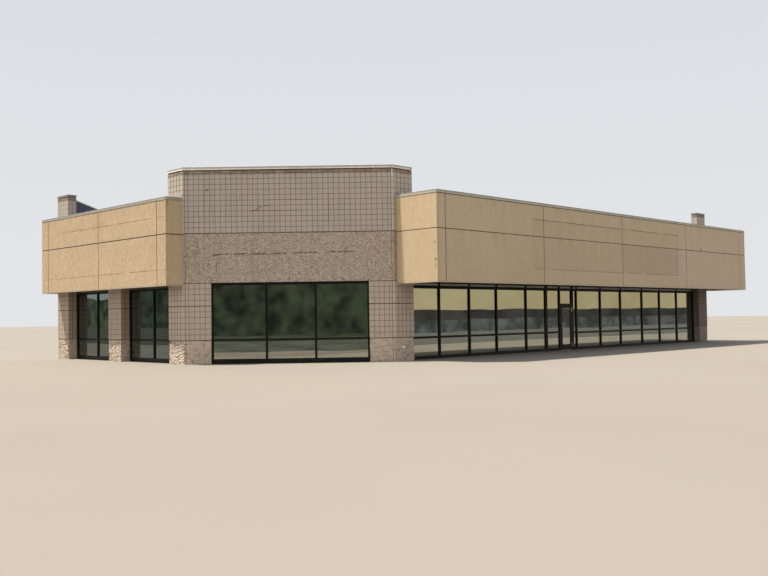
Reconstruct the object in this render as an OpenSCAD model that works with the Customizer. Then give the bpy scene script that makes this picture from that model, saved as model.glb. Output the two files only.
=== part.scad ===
// Corner shop building: a chamfered block screen between two glazed wings with
// projecting stucco fascias. Millimetres, +Z up, origin at the middle of the
// outline on the ground. The long shopfront faces -Y, the short wing faces -X
// and the chamfered corner faces between them.

/* [Plan] */
// Distance from the square corner to each end of the chamfer
chamfer = 5604; // [5200:1:6000]
// Width of every masonry pier (five scored block faces)
pier_w = 1016; // [900:1:1200]
// Width of a window bay in the short wing
left_bay = 3658; // [3200:1:4000]
// Length of the glazed shopfront
shopfront_len = 23938; // [23300:1:24600]
// Depth from the pier faces to the window frames of the short wing
left_reveal = 406; // [380:1:440]
// Depth from the pier faces to the shopfront frames
right_reveal = 330; // [300:1:360]
// Thickness of the rear and party walls
wall_t = 305; // [250:1:350]

/* [Heights] */
// Height of the block piers under the lintel course
lintel_z = 3048; // [3030:1:3100]
// Top of the tall block screen and of the end piers, under the coping
screen_z = 7315; // [7200:1:7400]
// Top of the level parapets at the back, under the coping
parapet_z = 6210; // [6190:1:6260]
// Underside of the roof deck
deck_z = 5000; // [4800:1:5300]
// Floor level inside
floor_z = 40; // [30:1:60]

/* [Fascias] */
// Projection of the short wing's fascia in front of the piers
left_proj = 731; // [650:1:800]
// Projection of the shopfront's fascia in front of the piers
right_proj = 2032; // [1900:1:2150]
// Underside of the short wing's fascia
left_fascia_z0 = 2950; // [2900:1:2990]
// Underside of the shopfront's fascia
right_fascia_z0 = 2920; // [2900:1:2990]
// Height of the metal coping on each fascia
coping_h = 110; // [80:1:130]
// How far a coping stands proud of the face under it
coping_lip = 15; // [10:1:25]

/* [Frames] */
// Face width of a frame member
bar_w = 90; // [60:1:100]
// Depth of a frame member
bar_d = 110; // [100:1:120]
// Thickness of a sealed glass unit
glass_t = 24; // [16:2:30]
// Top of the bottom rail of the chamfer window
corner_sill = 165; // [120:1:180]
// Top of the bottom rail of the short wing's windows
left_sill = 145; // [120:1:180]
// Top of the bottom rail of the shopfront
front_sill = 110; // [100:1:160]

/* [Door] */
// Left edge of the door leaf, measured along the shopfront
door_x0 = 17095; // [17060:1:17120]
// Width of the door leaf
door_w = 915; // [890:1:940]
// Height of the top of the door leaf
door_top = 2119; // [2050:1:2119]
// Thickness of the door leaf
door_t = 45; // [40:1:50]
// Height of the leaf's bottom rail
door_rail = 224; // [180:1:240]

/* [Hidden] */
$fn = 48;
ox = 15747;
oy = 6968;
left_y0 = chamfer + pier_w;
mid_y0 = left_y0 + left_bay;
mid_y1 = mid_y0 + pier_w;
end_y0 = mid_y1 + left_bay;
end_y1 = end_y0 + pier_w;
ret_x = chamfer + 1056;
epx0 = ret_x + shopfront_len;
epx1 = epx0 + pier_w;
fas_x0 = chamfer + 156;
fas_x1 = epx1 + 611;
left_fascia_z1 = 6162;
right_fascia_z1 = 6186;
pier_d = 610;
rpier_d = 530;
jamb_l = 735;
jamb_r = 674;
head_z = 2896;
strip_z = 2978;
lhead_z = 2935;
soffit_z = 3003;
in_x = left_reveal + 200;
in_y = right_reveal + 200;
rear_y = end_y1 - wall_t;
party_x = epx1 - wall_t;
rake = 3545;
lip2 = 35;
fy0 = right_reveal;
fy1 = right_reveal + bar_d;
fx1 = left_reveal + bar_d;
glass_in = 50;
gy0 = fy0 + glass_in;
gy1 = gy0 + glass_t;
door_x1 = door_x0 + door_w;
jamb0 = door_x0 - 100;
jamb_r1 = door_x1 + 56;
jamb1 = door_x1 + 190;
leaf_y0 = right_reveal + 6;
leaf_z0 = 20;
axis_x = door_x1 + 3;
axis_y = right_reveal - 12;
stile = 130;
left_bars = [8540, 10430, 12258, 14400, 15955];
right_bars = [18470, 20620, 22555, 24740, 26635, 28590];

block = [0.60, 0.54, 0.48];
stucco = [0.80, 0.70, 0.54];
metal_cap = [0.74, 0.72, 0.68];
dark = [0.08, 0.08, 0.08];
pane = [0.30, 0.38, 0.36, 0.6];
rubber = [0.18, 0.19, 0.22];
concrete = [0.62, 0.60, 0.57];
alu = [0.70, 0.70, 0.70];

module at() { translate([-ox, -oy, 0]) children(); }
// a box between two corners
module bx(a, b) { translate(a) cube([b[0] - a[0], b[1] - a[1], b[2] - a[2]]); }
// a plan outline raised between two heights
module up(z0, z1, pts) { translate([0, 0, z0]) linear_extrude(height = z1 - z0) polygon(pts); }
// an outline of [x, z] points carried from y0 to y1
module along_y(y0, y1, pts) { translate([0, y1, 0]) rotate([90, 0, 0]) linear_extrude(height = y1 - y0) polygon(pts); }
// an outline of [y, z] points carried from x0 to x1
module along_x(x0, x1, pts) { translate([x0, 0, 0]) rotate([90, 0, 90]) linear_extrude(height = x1 - x0) polygon(pts); }

// point on the chamfer: s steps along from its left end, d steps inwards
function ch(s, d) = [s + d, chamfer - s + d];

module floor_slab() { color(concrete) at() up(0, floor_z, [
  [fx1, left_y0], [pier_d, left_y0], [pier_d, 6028 - pier_d], ch(jamb_l, 212), ch(jamb_l, 142),
  ch(chamfer - jamb_r, 142), ch(chamfer - jamb_r, 212), [6028 - rpier_d, rpier_d], [ret_x, rpier_d], [ret_x, fy1],
  [epx0, fy1], [epx0, rpier_d], [party_x, rpier_d], [party_x, rear_y],
  [pier_d, rear_y], [pier_d, end_y0], [fx1, end_y0], [fx1, mid_y1], [pier_d, mid_y1], [pier_d, mid_y0], [fx1, mid_y0]]); }

module tower_left_pier() { color(block) at() up(0, lintel_z, [
  [0, chamfer], ch(jamb_l, 0), ch(jamb_l, 212), [pier_d, 6028 - pier_d], [pier_d, left_y0], [0, left_y0]]); }
module tower_right_pier() { color(block) at() up(0, lintel_z, [
  [chamfer, 0], [ret_x, 0], [ret_x, rpier_d], [6028 - rpier_d, rpier_d], ch(chamfer - jamb_r, 212), ch(chamfer - jamb_r, 0)]); }
module tower_front_screen() { color(block) at() up(lintel_z, screen_z, [
  [0, chamfer], [chamfer, 0], [chamfer + 83, 200], [200, chamfer + 83]]); }
module tower_left_return() { color(block) at() up(lintel_z, screen_z, [
  [0, chamfer], [200, chamfer + 83], [left_reveal, chamfer + 83], [left_reveal, left_y0], [0, left_y0]]); }
module tower_right_return() { color(block) at() up(lintel_z, screen_z, [
  [chamfer, 0], [ret_x, 0], [ret_x, right_reveal], [chamfer + 83, right_reveal], [chamfer + 83, 200]]); }
module tower_coping() { color(metal_cap) at() up(screen_z, screen_z + coping_h, [
  [-coping_lip, chamfer - 6], [chamfer - 6, -coping_lip], [ret_x + coping_lip, -coping_lip], [ret_x + coping_lip, right_reveal + coping_lip],
  [chamfer + 68, right_reveal + coping_lip], [chamfer + 68, 236], [236, chamfer + 68], [left_reveal + coping_lip, chamfer + 68],
  [left_reveal + coping_lip, left_y0 + coping_lip], [-coping_lip, left_y0 + coping_lip]]); }

module left_middle_pier() { color(block) at() bx([0, mid_y0, 0], [pier_d, mid_y1, lintel_z]); }
module left_end_pier() { color(block) at() union() {
  bx([0, end_y0, 0], [pier_d, end_y1, lintel_z]);
  bx([0, end_y0, lintel_z], [left_reveal, end_y1, screen_z]); } }
module end_pier_copings() { color(metal_cap) at() {
  bx([-coping_lip, end_y0 - coping_lip, screen_z], [left_reveal + coping_lip, end_y1 + coping_lip, screen_z + 85]);
  bx([epx0 - coping_lip, -coping_lip, screen_z], [epx1 + coping_lip, right_reveal + coping_lip, screen_z + 85]); } }
module left_header_wall() { color(stucco) at() union() {
  bx([left_reveal, left_y0, lhead_z], [in_x, mid_y0, lintel_z]);
  bx([left_reveal, mid_y1, lhead_z], [in_x, end_y0, lintel_z]);
  bx([left_reveal, chamfer + 83, lintel_z], [in_x, rear_y, left_fascia_z1]); } }

module left_fascia() { color(stucco) at() union() {
  bx([-left_proj, chamfer, left_fascia_z0], [-left_proj + 150, end_y1, left_fascia_z1]);
  bx([-left_proj, chamfer, left_fascia_z0], [0, chamfer + 150, left_fascia_z1]);
  bx([-left_proj, end_y1 - 150, left_fascia_z0], [0, end_y1, left_fascia_z1]); } }
module left_fascia_coping() { color(metal_cap) at() up(left_fascia_z1, left_fascia_z1 + coping_h, [
  [-left_proj - coping_lip, chamfer - coping_lip], [0, chamfer - coping_lip], [0, left_y0], [left_reveal, left_y0], [in_x + coping_lip, left_y0],
  [in_x + coping_lip, rear_y - lip2], [left_reveal, rear_y - lip2], [left_reveal, end_y0], [0, end_y0], [0, end_y1 + coping_lip], [-left_proj - coping_lip, end_y1 + coping_lip]]); }
module left_soffit() { color(stucco) at() up(soffit_z, soffit_z + 20, [
  [-left_proj + 150, chamfer + 150], [0, chamfer + 150], [0, left_y0], [left_reveal, left_y0], [left_reveal, mid_y0], [0, mid_y0],
  [0, mid_y1], [left_reveal, mid_y1], [left_reveal, end_y0], [0, end_y0], [0, end_y1 - 150], [-left_proj + 150, end_y1 - 150]]); }
module left_counter_flashing() { color([0.86, 0.82, 0.72]) at()
  bx([-12, chamfer, left_fascia_z1 + coping_h], [0, left_y0, left_fascia_z1 + coping_h + 170]); }

module right_end_pier() { color(block) at() union() {
  bx([epx0, 0, 0], [epx1, rpier_d, lintel_z]);
  bx([epx0, 0, lintel_z], [epx1, right_reveal, screen_z]); } }
module right_header_wall() { color(stucco) at()
  bx([chamfer + 83, right_reveal, lintel_z], [party_x, in_y, right_fascia_z1]); }

// the shell, and the strip that closes it behind where it runs past the end pier
module right_fascia() { color(stucco) at() {
  union() {
    bx([fas_x0, -right_proj, right_fascia_z0], [fas_x1, -right_proj + 150, right_fascia_z1]);
    bx([fas_x0, -right_proj, right_fascia_z0], [fas_x0 + 150, 0, right_fascia_z1]);
    bx([fas_x1 - 150, -right_proj, right_fascia_z0], [fas_x1, 0, right_fascia_z1]); }
  bx([epx1, -100, right_fascia_z0], [fas_x1 - 151, 0, right_fascia_z1]); } }
module right_fascia_coping() { color(metal_cap) at() up(right_fascia_z1, right_fascia_z1 + coping_h, [
  [fas_x0 - coping_lip, -right_proj - coping_lip], [fas_x1 + coping_lip, -right_proj - coping_lip], [fas_x1 + coping_lip, 0], [epx0, 0],
  [epx0, in_y + coping_lip], [ret_x, in_y + coping_lip], [ret_x, 0], [fas_x0 - coping_lip, 0]]); }
module right_soffit() { color(stucco) at() up(soffit_z, soffit_z + 20, [
  [fas_x0 + 150, -right_proj + 150], [fas_x1 - 150, -right_proj + 150], [fas_x1 - 150, -100], [epx1, -100], [epx1, 0], [epx0, 0],
  [epx0, right_reveal], [ret_x, right_reveal], [ret_x, 0], [fas_x0 + 150, 0]]); }

module rear_wall() { color(block) at() along_y(rear_y, end_y1, [
  [pier_d, 0], [party_x, 0], [party_x, parapet_z], [left_reveal + coping_lip + rake, parapet_z], [left_reveal + coping_lip, screen_z],
  [left_reveal, screen_z], [left_reveal, lintel_z], [pier_d, lintel_z]]); }
module rear_wall_coping() { color(metal_cap) at() along_y(rear_y - lip2, end_y1 + coping_lip, [
  [left_reveal + coping_lip, screen_z], [left_reveal + coping_lip + rake, parapet_z], [party_x - lip2, parapet_z], [party_x - lip2, parapet_z + 60],
  [left_reveal + coping_lip + rake, parapet_z + 60], [left_reveal + coping_lip, screen_z + 60]]); }
// this wall's parapet runs level up to the back of the end pier
module party_wall() { color(block) at() along_x(party_x, epx1, [
  [rpier_d, 0], [end_y1, 0], [end_y1, parapet_z], [right_reveal, parapet_z], [right_reveal, lintel_z], [rpier_d, lintel_z]]); }
module party_wall_coping() { color(metal_cap) at()
  bx([party_x - lip2, right_reveal, parapet_z], [epx1 + coping_lip, end_y1 + coping_lip, parapet_z + 60]); }
function deck_pts() = [[200, chamfer + 83], [chamfer + 83, 200], [chamfer + 83, in_y], [party_x, in_y], [party_x, rear_y], [in_x, rear_y], [in_x, chamfer + 83]];
module roof_deck() { color(concrete) at() up(deck_z, deck_z + 200, deck_pts()); }
// the sheet on the deck, turned up the inner faces of the two back parapets
module roof_membrane() { color(rubber) at() {
  up(deck_z + 200, deck_z + 220, deck_pts());
  along_y(rear_y - 20, rear_y, [
  [in_x, deck_z + 220], [party_x - 20, deck_z + 220], [party_x - 20, parapet_z], [left_reveal + coping_lip + rake, parapet_z],
  [left_reveal + coping_lip, screen_z], [left_reveal + coping_lip, left_fascia_z1 + coping_h], [in_x, left_fascia_z1 + coping_h]]);
  along_x(party_x - 20, party_x, [
  [in_y, deck_z + 220], [rear_y, deck_z + 220], [rear_y, parapet_z], [in_y, parapet_z]]); } }

// one vertical member of the chamfer window between two steps along the chamfer
module chbar(s0, s1, z0, z1, d0 = 71, d1 = 142) { up(z0, z1, [ch(s0, d0), ch(s1, d0), ch(s1, d1), ch(s0, d1)]); }
cw0 = jamb_l; cw1 = 2177; cw2 = 2213; cw3 = 3485; cw4 = 3521; cw5 = chamfer - jamb_r; cb = 36;
crail = 872; crail_h = 45; chead = lintel_z - 80;
module corner_window_frame() { color(dark) at() union() {
  chbar(cw0, cw0 + cb, 0, lintel_z);
  chbar(cw5 - cb, cw5, 0, lintel_z);
  chbar(cw1, cw2, 0, lintel_z);
  chbar(cw3, cw4, 0, lintel_z);
  chbar(cw0, cw5, 0, corner_sill);
  chbar(cw0, cw5, chead, lintel_z);
  chbar(cw0, cw5, crail, crail + crail_h); } }
module chpane(s0, s1) {
  chbar(s0, s1, corner_sill, crail, 98, 115);
  chbar(s0, s1, crail + crail_h, chead, 98, 115); }
module corner_window_glass() { color(pane) at() { chpane(cw0 + cb, cw1); chpane(cw2, cw3); chpane(cw4, cw5 - cb); } }

// a two-light window of the short wing between two piers, with its middle post at ym
lrail = 868; lrail_h = 38; lside = 50; lmid = 30; lym = [8408, 13043];
module left_frame(y0, y1, ym) { x0 = left_reveal; x1 = fx1; union() {
  bx([x0, y0, 0], [x1, y0 + lside, lhead_z]);
  bx([x0, y1 - lside, 0], [x1, y1, lhead_z]);
  bx([x0, ym - lmid, 0], [x1, ym + lmid, lhead_z]);
  bx([x0, y0, 0], [x1, y1, left_sill]);
  bx([x0, y0, lhead_z - 55], [x1, y1, lhead_z]);
  bx([x0, y0, lrail], [x1, y1, lrail + lrail_h]); } }
module left_glass(y0, y1, ym) { x0 = left_reveal + glass_in; x1 = x0 + glass_t;
  for (s = [[y0 + lside, ym - lmid], [ym + lmid, y1 - lside]]) {
    bx([x0, s[0], left_sill], [x1, s[1], lrail]);
    bx([x0, s[0], lrail + lrail_h], [x1, s[1], lhead_z - 55]); } }
module left_window_near_frame() { color(dark) at() left_frame(left_y0, mid_y0, lym[0]); }
module left_window_far_frame() { color(dark) at() left_frame(mid_y1, end_y0, lym[1]); }
module left_window_glass() { color(pane) at() { left_glass(left_y0, mid_y0, lym[0]); left_glass(mid_y1, end_y0, lym[1]); } }

// shopfront: posts at the given centres between x0 and x1, with sill, rail, head,
// and a closing strip between the head and the top rail
srail = 825; // bottom of the middle rail left of the door
srail_r = 780; // and right of it
function half(x) = x == 15955 ? 80 : bar_w / 2;
module front_frame(x0, x1, posts, rz) { union() {
  bx([x0, fy0, 0], [x1, fy1, front_sill]);
  bx([x0, fy0, head_z - 100], [x1, fy1, head_z]);
  bx([x0, fy0 + 30, head_z], [x1, fy1 - 30, strip_z]);
  bx([x0, fy0, strip_z], [x1, fy1, lintel_z]);
  bx([x0, fy0, rz], [x1, fy1, rz + 50]);
  for (p = posts) bx([p - half(p), fy0, 0], [p + half(p), fy1, lintel_z]); } }
module front_panes(edges, rz) { for (e = edges) {
  bx([e[0], gy0, front_sill], [e[1], gy1, rz]);
  bx([e[0], gy0, rz + 50], [e[1], gy1, head_z - 100]); } }
nl = len(left_bars); nr = len(right_bars);
module shopfront_frame_left() { color(dark) at() front_frame(ret_x, jamb0, concat([ret_x + bar_w / 2], left_bars), srail); }
module shopfront_frame_right() { color(dark) at() front_frame(jamb1, epx0, concat(right_bars, [epx0 - bar_w / 2]), srail_r); }
module shopfront_glass() { color(pane) at() {
  front_panes([for (i = [0 : nl]) [i == 0 ? ret_x + bar_w : left_bars[i - 1] + half(left_bars[i - 1]), i == nl ? jamb0 : left_bars[i] - half(left_bars[i])]], srail);
  front_panes([for (i = [0 : nr]) [i == 0 ? jamb1 : right_bars[i - 1] + half(right_bars[i - 1]), i == nr ? epx0 - bar_w : right_bars[i] - half(right_bars[i])]], srail_r); } }

// entry door, with a wide left jamb and a solid panel beside its right one
module door_frame() { color(dark) at() union() {
  bx([jamb0, fy0, 0], [door_x0 - 8, fy1, lintel_z]);
  bx([door_x1 + 6, fy0, 0], [jamb_r1, fy1, lintel_z]);
  bx([jamb_r1, fy0 + 12, 0], [jamb1, fy1, lintel_z]);
  bx([jamb0, fy0, door_top + 5], [jamb_r1, fy1, door_top + 50]);
  bx([jamb0, fy0, head_z - 100], [jamb_r1, fy1, head_z]);
  bx([jamb0, fy0 + 30, head_z], [jamb_r1, fy1 - 30, strip_z]);
  bx([jamb0, fy0, strip_z], [jamb_r1, fy1, lintel_z]); } }
module transom_glass() { color(pane) at() bx([door_x0 - 8, gy0, door_top + 50], [door_x1 + 6, gy1, head_z - 100]); }
// low under the leaf, with a raised stop behind it
module door_threshold() { color(alu) at() along_x(door_x0 - 8, door_x1 + 6, [
  [fy0, 0], [fy1, 0], [fy1, floor_z + 12], [leaf_y0 + door_t + 7, floor_z + 12], [leaf_y0 + door_t + 7, 14], [fy0, 14]]); }
module door_leaf() { color(dark) at() difference() {
  bx([door_x0, leaf_y0, leaf_z0], [door_x1, leaf_y0 + door_t, door_top]);
  bx([door_x0 + stile, leaf_y0 - 1, leaf_z0 + door_rail], [door_x1 - stile, leaf_y0 + door_t + 1, door_top - 138]); } }
module door_glass() { color(pane) at()
  bx([door_x0 + stile, leaf_y0 + 14, leaf_z0 + door_rail], [door_x1 - stile, leaf_y0 + 26, door_top - 138]); }
// knuckles of the leaf, on the hinge axis, each with its plate on the leaf's face
module knuckle(z0, z1) { translate([axis_x, axis_y, z0]) cylinder(r = 10, h = z1 - z0); }
module door_leaf_pivots() { color(alu) at() for (z = [200, 1850]) union() {
  knuckle(z, z + 100);
  bx([door_x1 - 50, axis_y - 2, z], [axis_x, axis_y + 8, z + 100]);
  bx([door_x1 - 50, axis_y - 2, z], [door_x1 - 2, leaf_y0, z + 100]); } }
module door_frame_pivots() { color(alu) at() for (z = [200, 1850]) for (s = [[z - 45, z - 5], [z + 105, z + 145]]) union() {
  knuckle(s[0], s[1]);
  bx([axis_x, axis_y - 2, s[0]], [jamb_r1 - 8, axis_y + 8, s[1]]);
  bx([door_x1 + 8, axis_y + 2, s[0]], [jamb_r1 - 8, fy0, s[1]]); } }
module door_pull() { color(alu) at() union() {
  translate([door_x0 + 70, leaf_y0 - 60, 900]) cylinder(r = 13, h = 400);
  for (z = [940, 1260]) translate([door_x0 + 70, leaf_y0, z]) rotate([90, 0, 0]) cylinder(r = 9, h = 60); } }
module door_push_bar() { color(alu) at() union() {
  translate([door_x0 + 30, leaf_y0 + door_t + 55, 1050]) rotate([0, 90, 0]) cylinder(r = 13, h = door_w - 60);
  for (x = [door_x0 + 65, door_x1 - 65]) translate([x, leaf_y0 + door_t + 55, 1050]) rotate([90, 0, 0]) cylinder(r = 9, h = 55); } }
// closer body on a drop plate that hangs below the leaf's top rail
module door_closer() { color(alu) at() union() {
  bx([door_x1 - 740, leaf_y0 + door_t, 1895], [door_x1 - 125, leaf_y0 + door_t + 6, door_top - 20]);
  bx([door_x1 - 490, leaf_y0 + door_t + 6, 1902], [door_x1 - 150, leaf_y0 + door_t + 58, 1962]); } }

module hose_bib() { color([0.85, 0.83, 0.78]) at() translate([6041, 0, 541]) union() {
  rotate([90, 0, 0]) cylinder(r = 32, h = 8);
  rotate([90, 0, 0]) cylinder(r = 12, h = 75);
  translate([0, -62, -55]) cylinder(r = 12, h = 55);
  translate([0, -62, 0]) cylinder(r = 6, h = 40);
  translate([0, -62, 34]) cylinder(r = 27, h = 9); } }

floor_slab();
tower_left_pier();
tower_right_pier();
tower_front_screen();
tower_left_return();
tower_right_return();
tower_coping();
left_middle_pier();
left_end_pier();
end_pier_copings();
left_header_wall();
left_fascia();
left_fascia_coping();
left_soffit();
left_counter_flashing();
right_end_pier();
right_header_wall();
right_fascia();
right_fascia_coping();
right_soffit();
rear_wall();
rear_wall_coping();
party_wall();
party_wall_coping();
roof_deck();
roof_membrane();
corner_window_frame();
corner_window_glass();
left_window_far_frame();
left_window_near_frame();
left_window_glass();
shopfront_frame_left();
shopfront_frame_right();
shopfront_glass();
door_frame();
transom_glass();
door_threshold();
door_frame_pivots();
door_leaf();
door_glass();
door_leaf_pivots();
door_pull();
door_push_bar();
door_closer();
hose_bib();
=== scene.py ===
"""Looks of a corner shop building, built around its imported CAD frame. Metres, +Z up.

Plan positions below are written from the square corner of the building (the same
numbers as the CAD source uses, divided by 1000) and moved to the row frame by OX, OY.
"""
import bpy, bmesh, math
import numpy as np
from mathutils import Vector, Matrix


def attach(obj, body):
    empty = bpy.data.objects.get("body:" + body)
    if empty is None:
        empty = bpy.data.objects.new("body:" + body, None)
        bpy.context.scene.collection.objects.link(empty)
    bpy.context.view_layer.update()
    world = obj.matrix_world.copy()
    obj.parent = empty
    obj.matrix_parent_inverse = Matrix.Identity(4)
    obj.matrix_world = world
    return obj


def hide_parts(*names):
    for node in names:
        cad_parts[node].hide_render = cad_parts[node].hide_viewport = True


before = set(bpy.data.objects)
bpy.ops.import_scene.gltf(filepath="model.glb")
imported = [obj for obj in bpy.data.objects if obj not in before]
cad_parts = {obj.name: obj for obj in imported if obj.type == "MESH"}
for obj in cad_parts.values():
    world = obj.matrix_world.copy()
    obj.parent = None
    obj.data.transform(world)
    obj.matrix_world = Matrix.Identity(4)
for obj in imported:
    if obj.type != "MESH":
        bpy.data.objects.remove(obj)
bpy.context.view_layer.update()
OX, OY = 15.747, 6.968

# ---------------------------------------------------------------- camera
f, yaw, pit, rol = 899.45345, math.radians(45.18937), math.radians(1.86133), math.radians(-0.84971)
eye = Vector((-18.61866 - OX, -23.51391 - OY, 1.66831))
fw = Vector((math.sin(yaw) * math.cos(pit), math.cos(yaw) * math.cos(pit), math.sin(pit)))
rt = Vector((math.cos(yaw), -math.sin(yaw), 0)); up = rt.cross(fw)
r2 = rt * math.cos(rol) + up * math.sin(rol); u2 = -rt * math.sin(rol) + up * math.cos(rol)
cd = bpy.data.cameras.new("cam"); cd.sensor_width = 36; cd.lens = f / 768 * 36; cd.clip_end = 2000
cam = bpy.data.objects.new("cam", cd); bpy.context.collection.objects.link(cam)
cam.matrix_world = Matrix(((r2.x, u2.x, -fw.x, eye.x), (r2.y, u2.y, -fw.y, eye.y), (r2.z, u2.z, -fw.z, eye.z), (0, 0, 0, 1)))
bpy.context.scene.camera = cam

# ---------------------------------------------------------------- sizes (m)
CH, PW = 5.604, 1.016
LR, RR, WT = 0.406, 0.330, 0.305
LIN, SCR, PAR, DECK, FLR = 3.048, 7.315, 6.210, 5.0, 0.040
LPROJ, RPROJ = 0.731, 2.032
LFZ0, LFZ1, RFZ0, RFZ1, COP, LIP, LIP2, RAKE = 2.950, 6.162, 2.920, 6.186, 0.110, 0.015, 0.035, 3.545
LY0 = CH + PW; MY0 = LY0 + 3.658; MY1 = MY0 + PW; EY0 = MY1 + 3.658; EY1 = EY0 + PW
RX = CH + 1.056; EX0 = RX + 23.938; EX1 = EX0 + PW; FX0 = CH + 0.156; FX1 = EX1 + 0.611
PD, RPD, JL, JR = 0.610, 0.530, 0.735, 0.674
REAR, PARTY = EY1 - WT, EX1 - WT
INX, INY = LR + 0.2, RR + 0.2
BD, GT, GIN = 0.110, 0.024, 0.050
STRIP, HEAD, LHEAD, SOF = 2.978, 2.896, 2.935, 3.003
DX0, DX1, DTOP = 17.095, 18.010, 2.119
LBARS = [8.540, 10.430, 12.258, 14.400, 15.955]
RBARS = [18.470, 20.620, 22.555, 24.740, 26.635, 28.590]
R2 = math.sqrt(2)


def chp(s, d):
    return (s + d, CH - s + d)


# ---------------------------------------------------------------- noise
def h3(a, b, c, seed=0):
    h = (a * 374761393 + b * 668265263 + c * 1274126177 + seed * 362437) & 0xFFFFFFFF
    h = ((h ^ (h >> 13)) * 1103515245) & 0xFFFFFFFF
    h = h ^ (h >> 16)
    h = (h * 69069 + 12345) & 0xFFFFFFFF
    h = h ^ (h >> 15)
    return (h & 0xFFFFFF) / float(0xFFFFFF)


def vnoise(x, y, z, seed=0):
    xi, yi, zi = (np.floor(v).astype(np.int64) for v in (x, y, z))
    u, v, w = (t * t * (3 - 2 * t) for t in (x - xi, y - yi, z - zi))
    r = 0
    for i in (0, 1):
        for j in (0, 1):
            for k in (0, 1):
                r = r + h3(xi + i, yi + j, zi + k, seed) * (u if i else 1 - u) * (v if j else 1 - v) * (w if k else 1 - w)
    return r


def fbm(x, y, z, freq, octaves=3, seed=0, gain=0.5):
    s = a = 0.0; amp = 1.0
    for o in range(octaves):
        s = s + amp * vnoise(x * freq, y * freq, z * freq, seed + 17 * o); a += amp; amp *= gain; freq *= 2.03
    return s / a


# ---------------------------------------------------------------- mesh store
class Acc:
    """Vertices and faces of one piece, with what the materials read."""
    def __init__(s):
        s.v = []; s.jf = []; s.cav = []; s.mk = []; s.n = 0
        s.faces = []; s.tone = []; s.mi = []

    def verts(s, co, jf=0.0, cav=0.0, mk=0.0):
        co = np.asarray(co, float).reshape(-1, 3); m = len(co)
        s.v.append(co)
        for lst, val in ((s.jf, jf), (s.cav, cav), (s.mk, mk)):
            lst.append(np.broadcast_to(np.asarray(val, float).reshape(-1), (m,)) if np.ndim(val) else np.full(m, float(val)))
        i = np.arange(s.n, s.n + m); s.n += m
        return i

    def quads(s, q, tone=0.5, mi=0):
        q = np.asarray(q).reshape(-1, 4)
        s.faces.extend(q.tolist())
        s.tone.append(np.broadcast_to(np.asarray(tone, float).reshape(-1), (len(q),)) if np.ndim(tone) else np.full(len(q), float(tone)))
        s.mi.append(np.full(len(q), mi))

    def poly(s, p, tone=0.5, mi=0):
        s.faces.append([int(i) for i in p]); s.tone.append(np.array([tone], float)); s.mi.append(np.array([mi]))

    def mesh(s, name):
        me = bpy.data.meshes.new(name)
        co = np.concatenate(s.v); co = co - np.array([OX, OY, 0])
        me.from_pydata(co.tolist(), [], s.faces)
        for nm, lst in (("jf", s.jf), ("cav", s.cav), ("mk", s.mk)):
            at = me.attributes.new(nm, "FLOAT", "POINT"); at.data.foreach_set("value", np.concatenate(lst).astype(np.float32))
        at = me.attributes.new("tone", "FLOAT", "FACE"); at.data.foreach_set("value", np.concatenate(s.tone).astype(np.float32))
        me.polygons.foreach_set("material_index", np.concatenate(s.mi).astype(np.int32))
        me.update()
        return me


def piece(acc, name, mats, nodes=(), body="building", smooth=False):
    me = acc.mesh(name) if isinstance(acc, Acc) else acc
    ob = bpy.data.objects.new(name, me); bpy.context.collection.objects.link(ob)
    for m in (mats if isinstance(mats, (list, tuple)) else [mats]):
        me.materials.append(m)
    if smooth:
        me.shade_smooth()
    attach(ob, body)
    if nodes:
        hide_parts(*([nodes] if isinstance(nodes, str) else nodes))
    return ob


def fix_normals(o):
    b = bmesh.new(); b.from_mesh(o.data); bmesh.ops.recalc_face_normals(b, faces=b.faces[:]); b.to_mesh(o.data); b.free(); return o


# ---------------------------------------------------------------- walls with real joints
def cuts(vals, lo, hi, eps=4e-4):
    out = [lo]
    for v in sorted(vals):
        if v - out[-1] > eps and hi - v > eps:
            out.append(v)
    out.append(hi)
    return np.array(out)


def prof(t, k):
    return np.clip(1 - t, 0, 1) if k == "v" else np.clip((1 - t) / 0.45, 0, 1)


def span(x, a, b, r=0.006):
    return np.clip(np.minimum(x - a, b - x) / r + 1, 0, 1)


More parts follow.
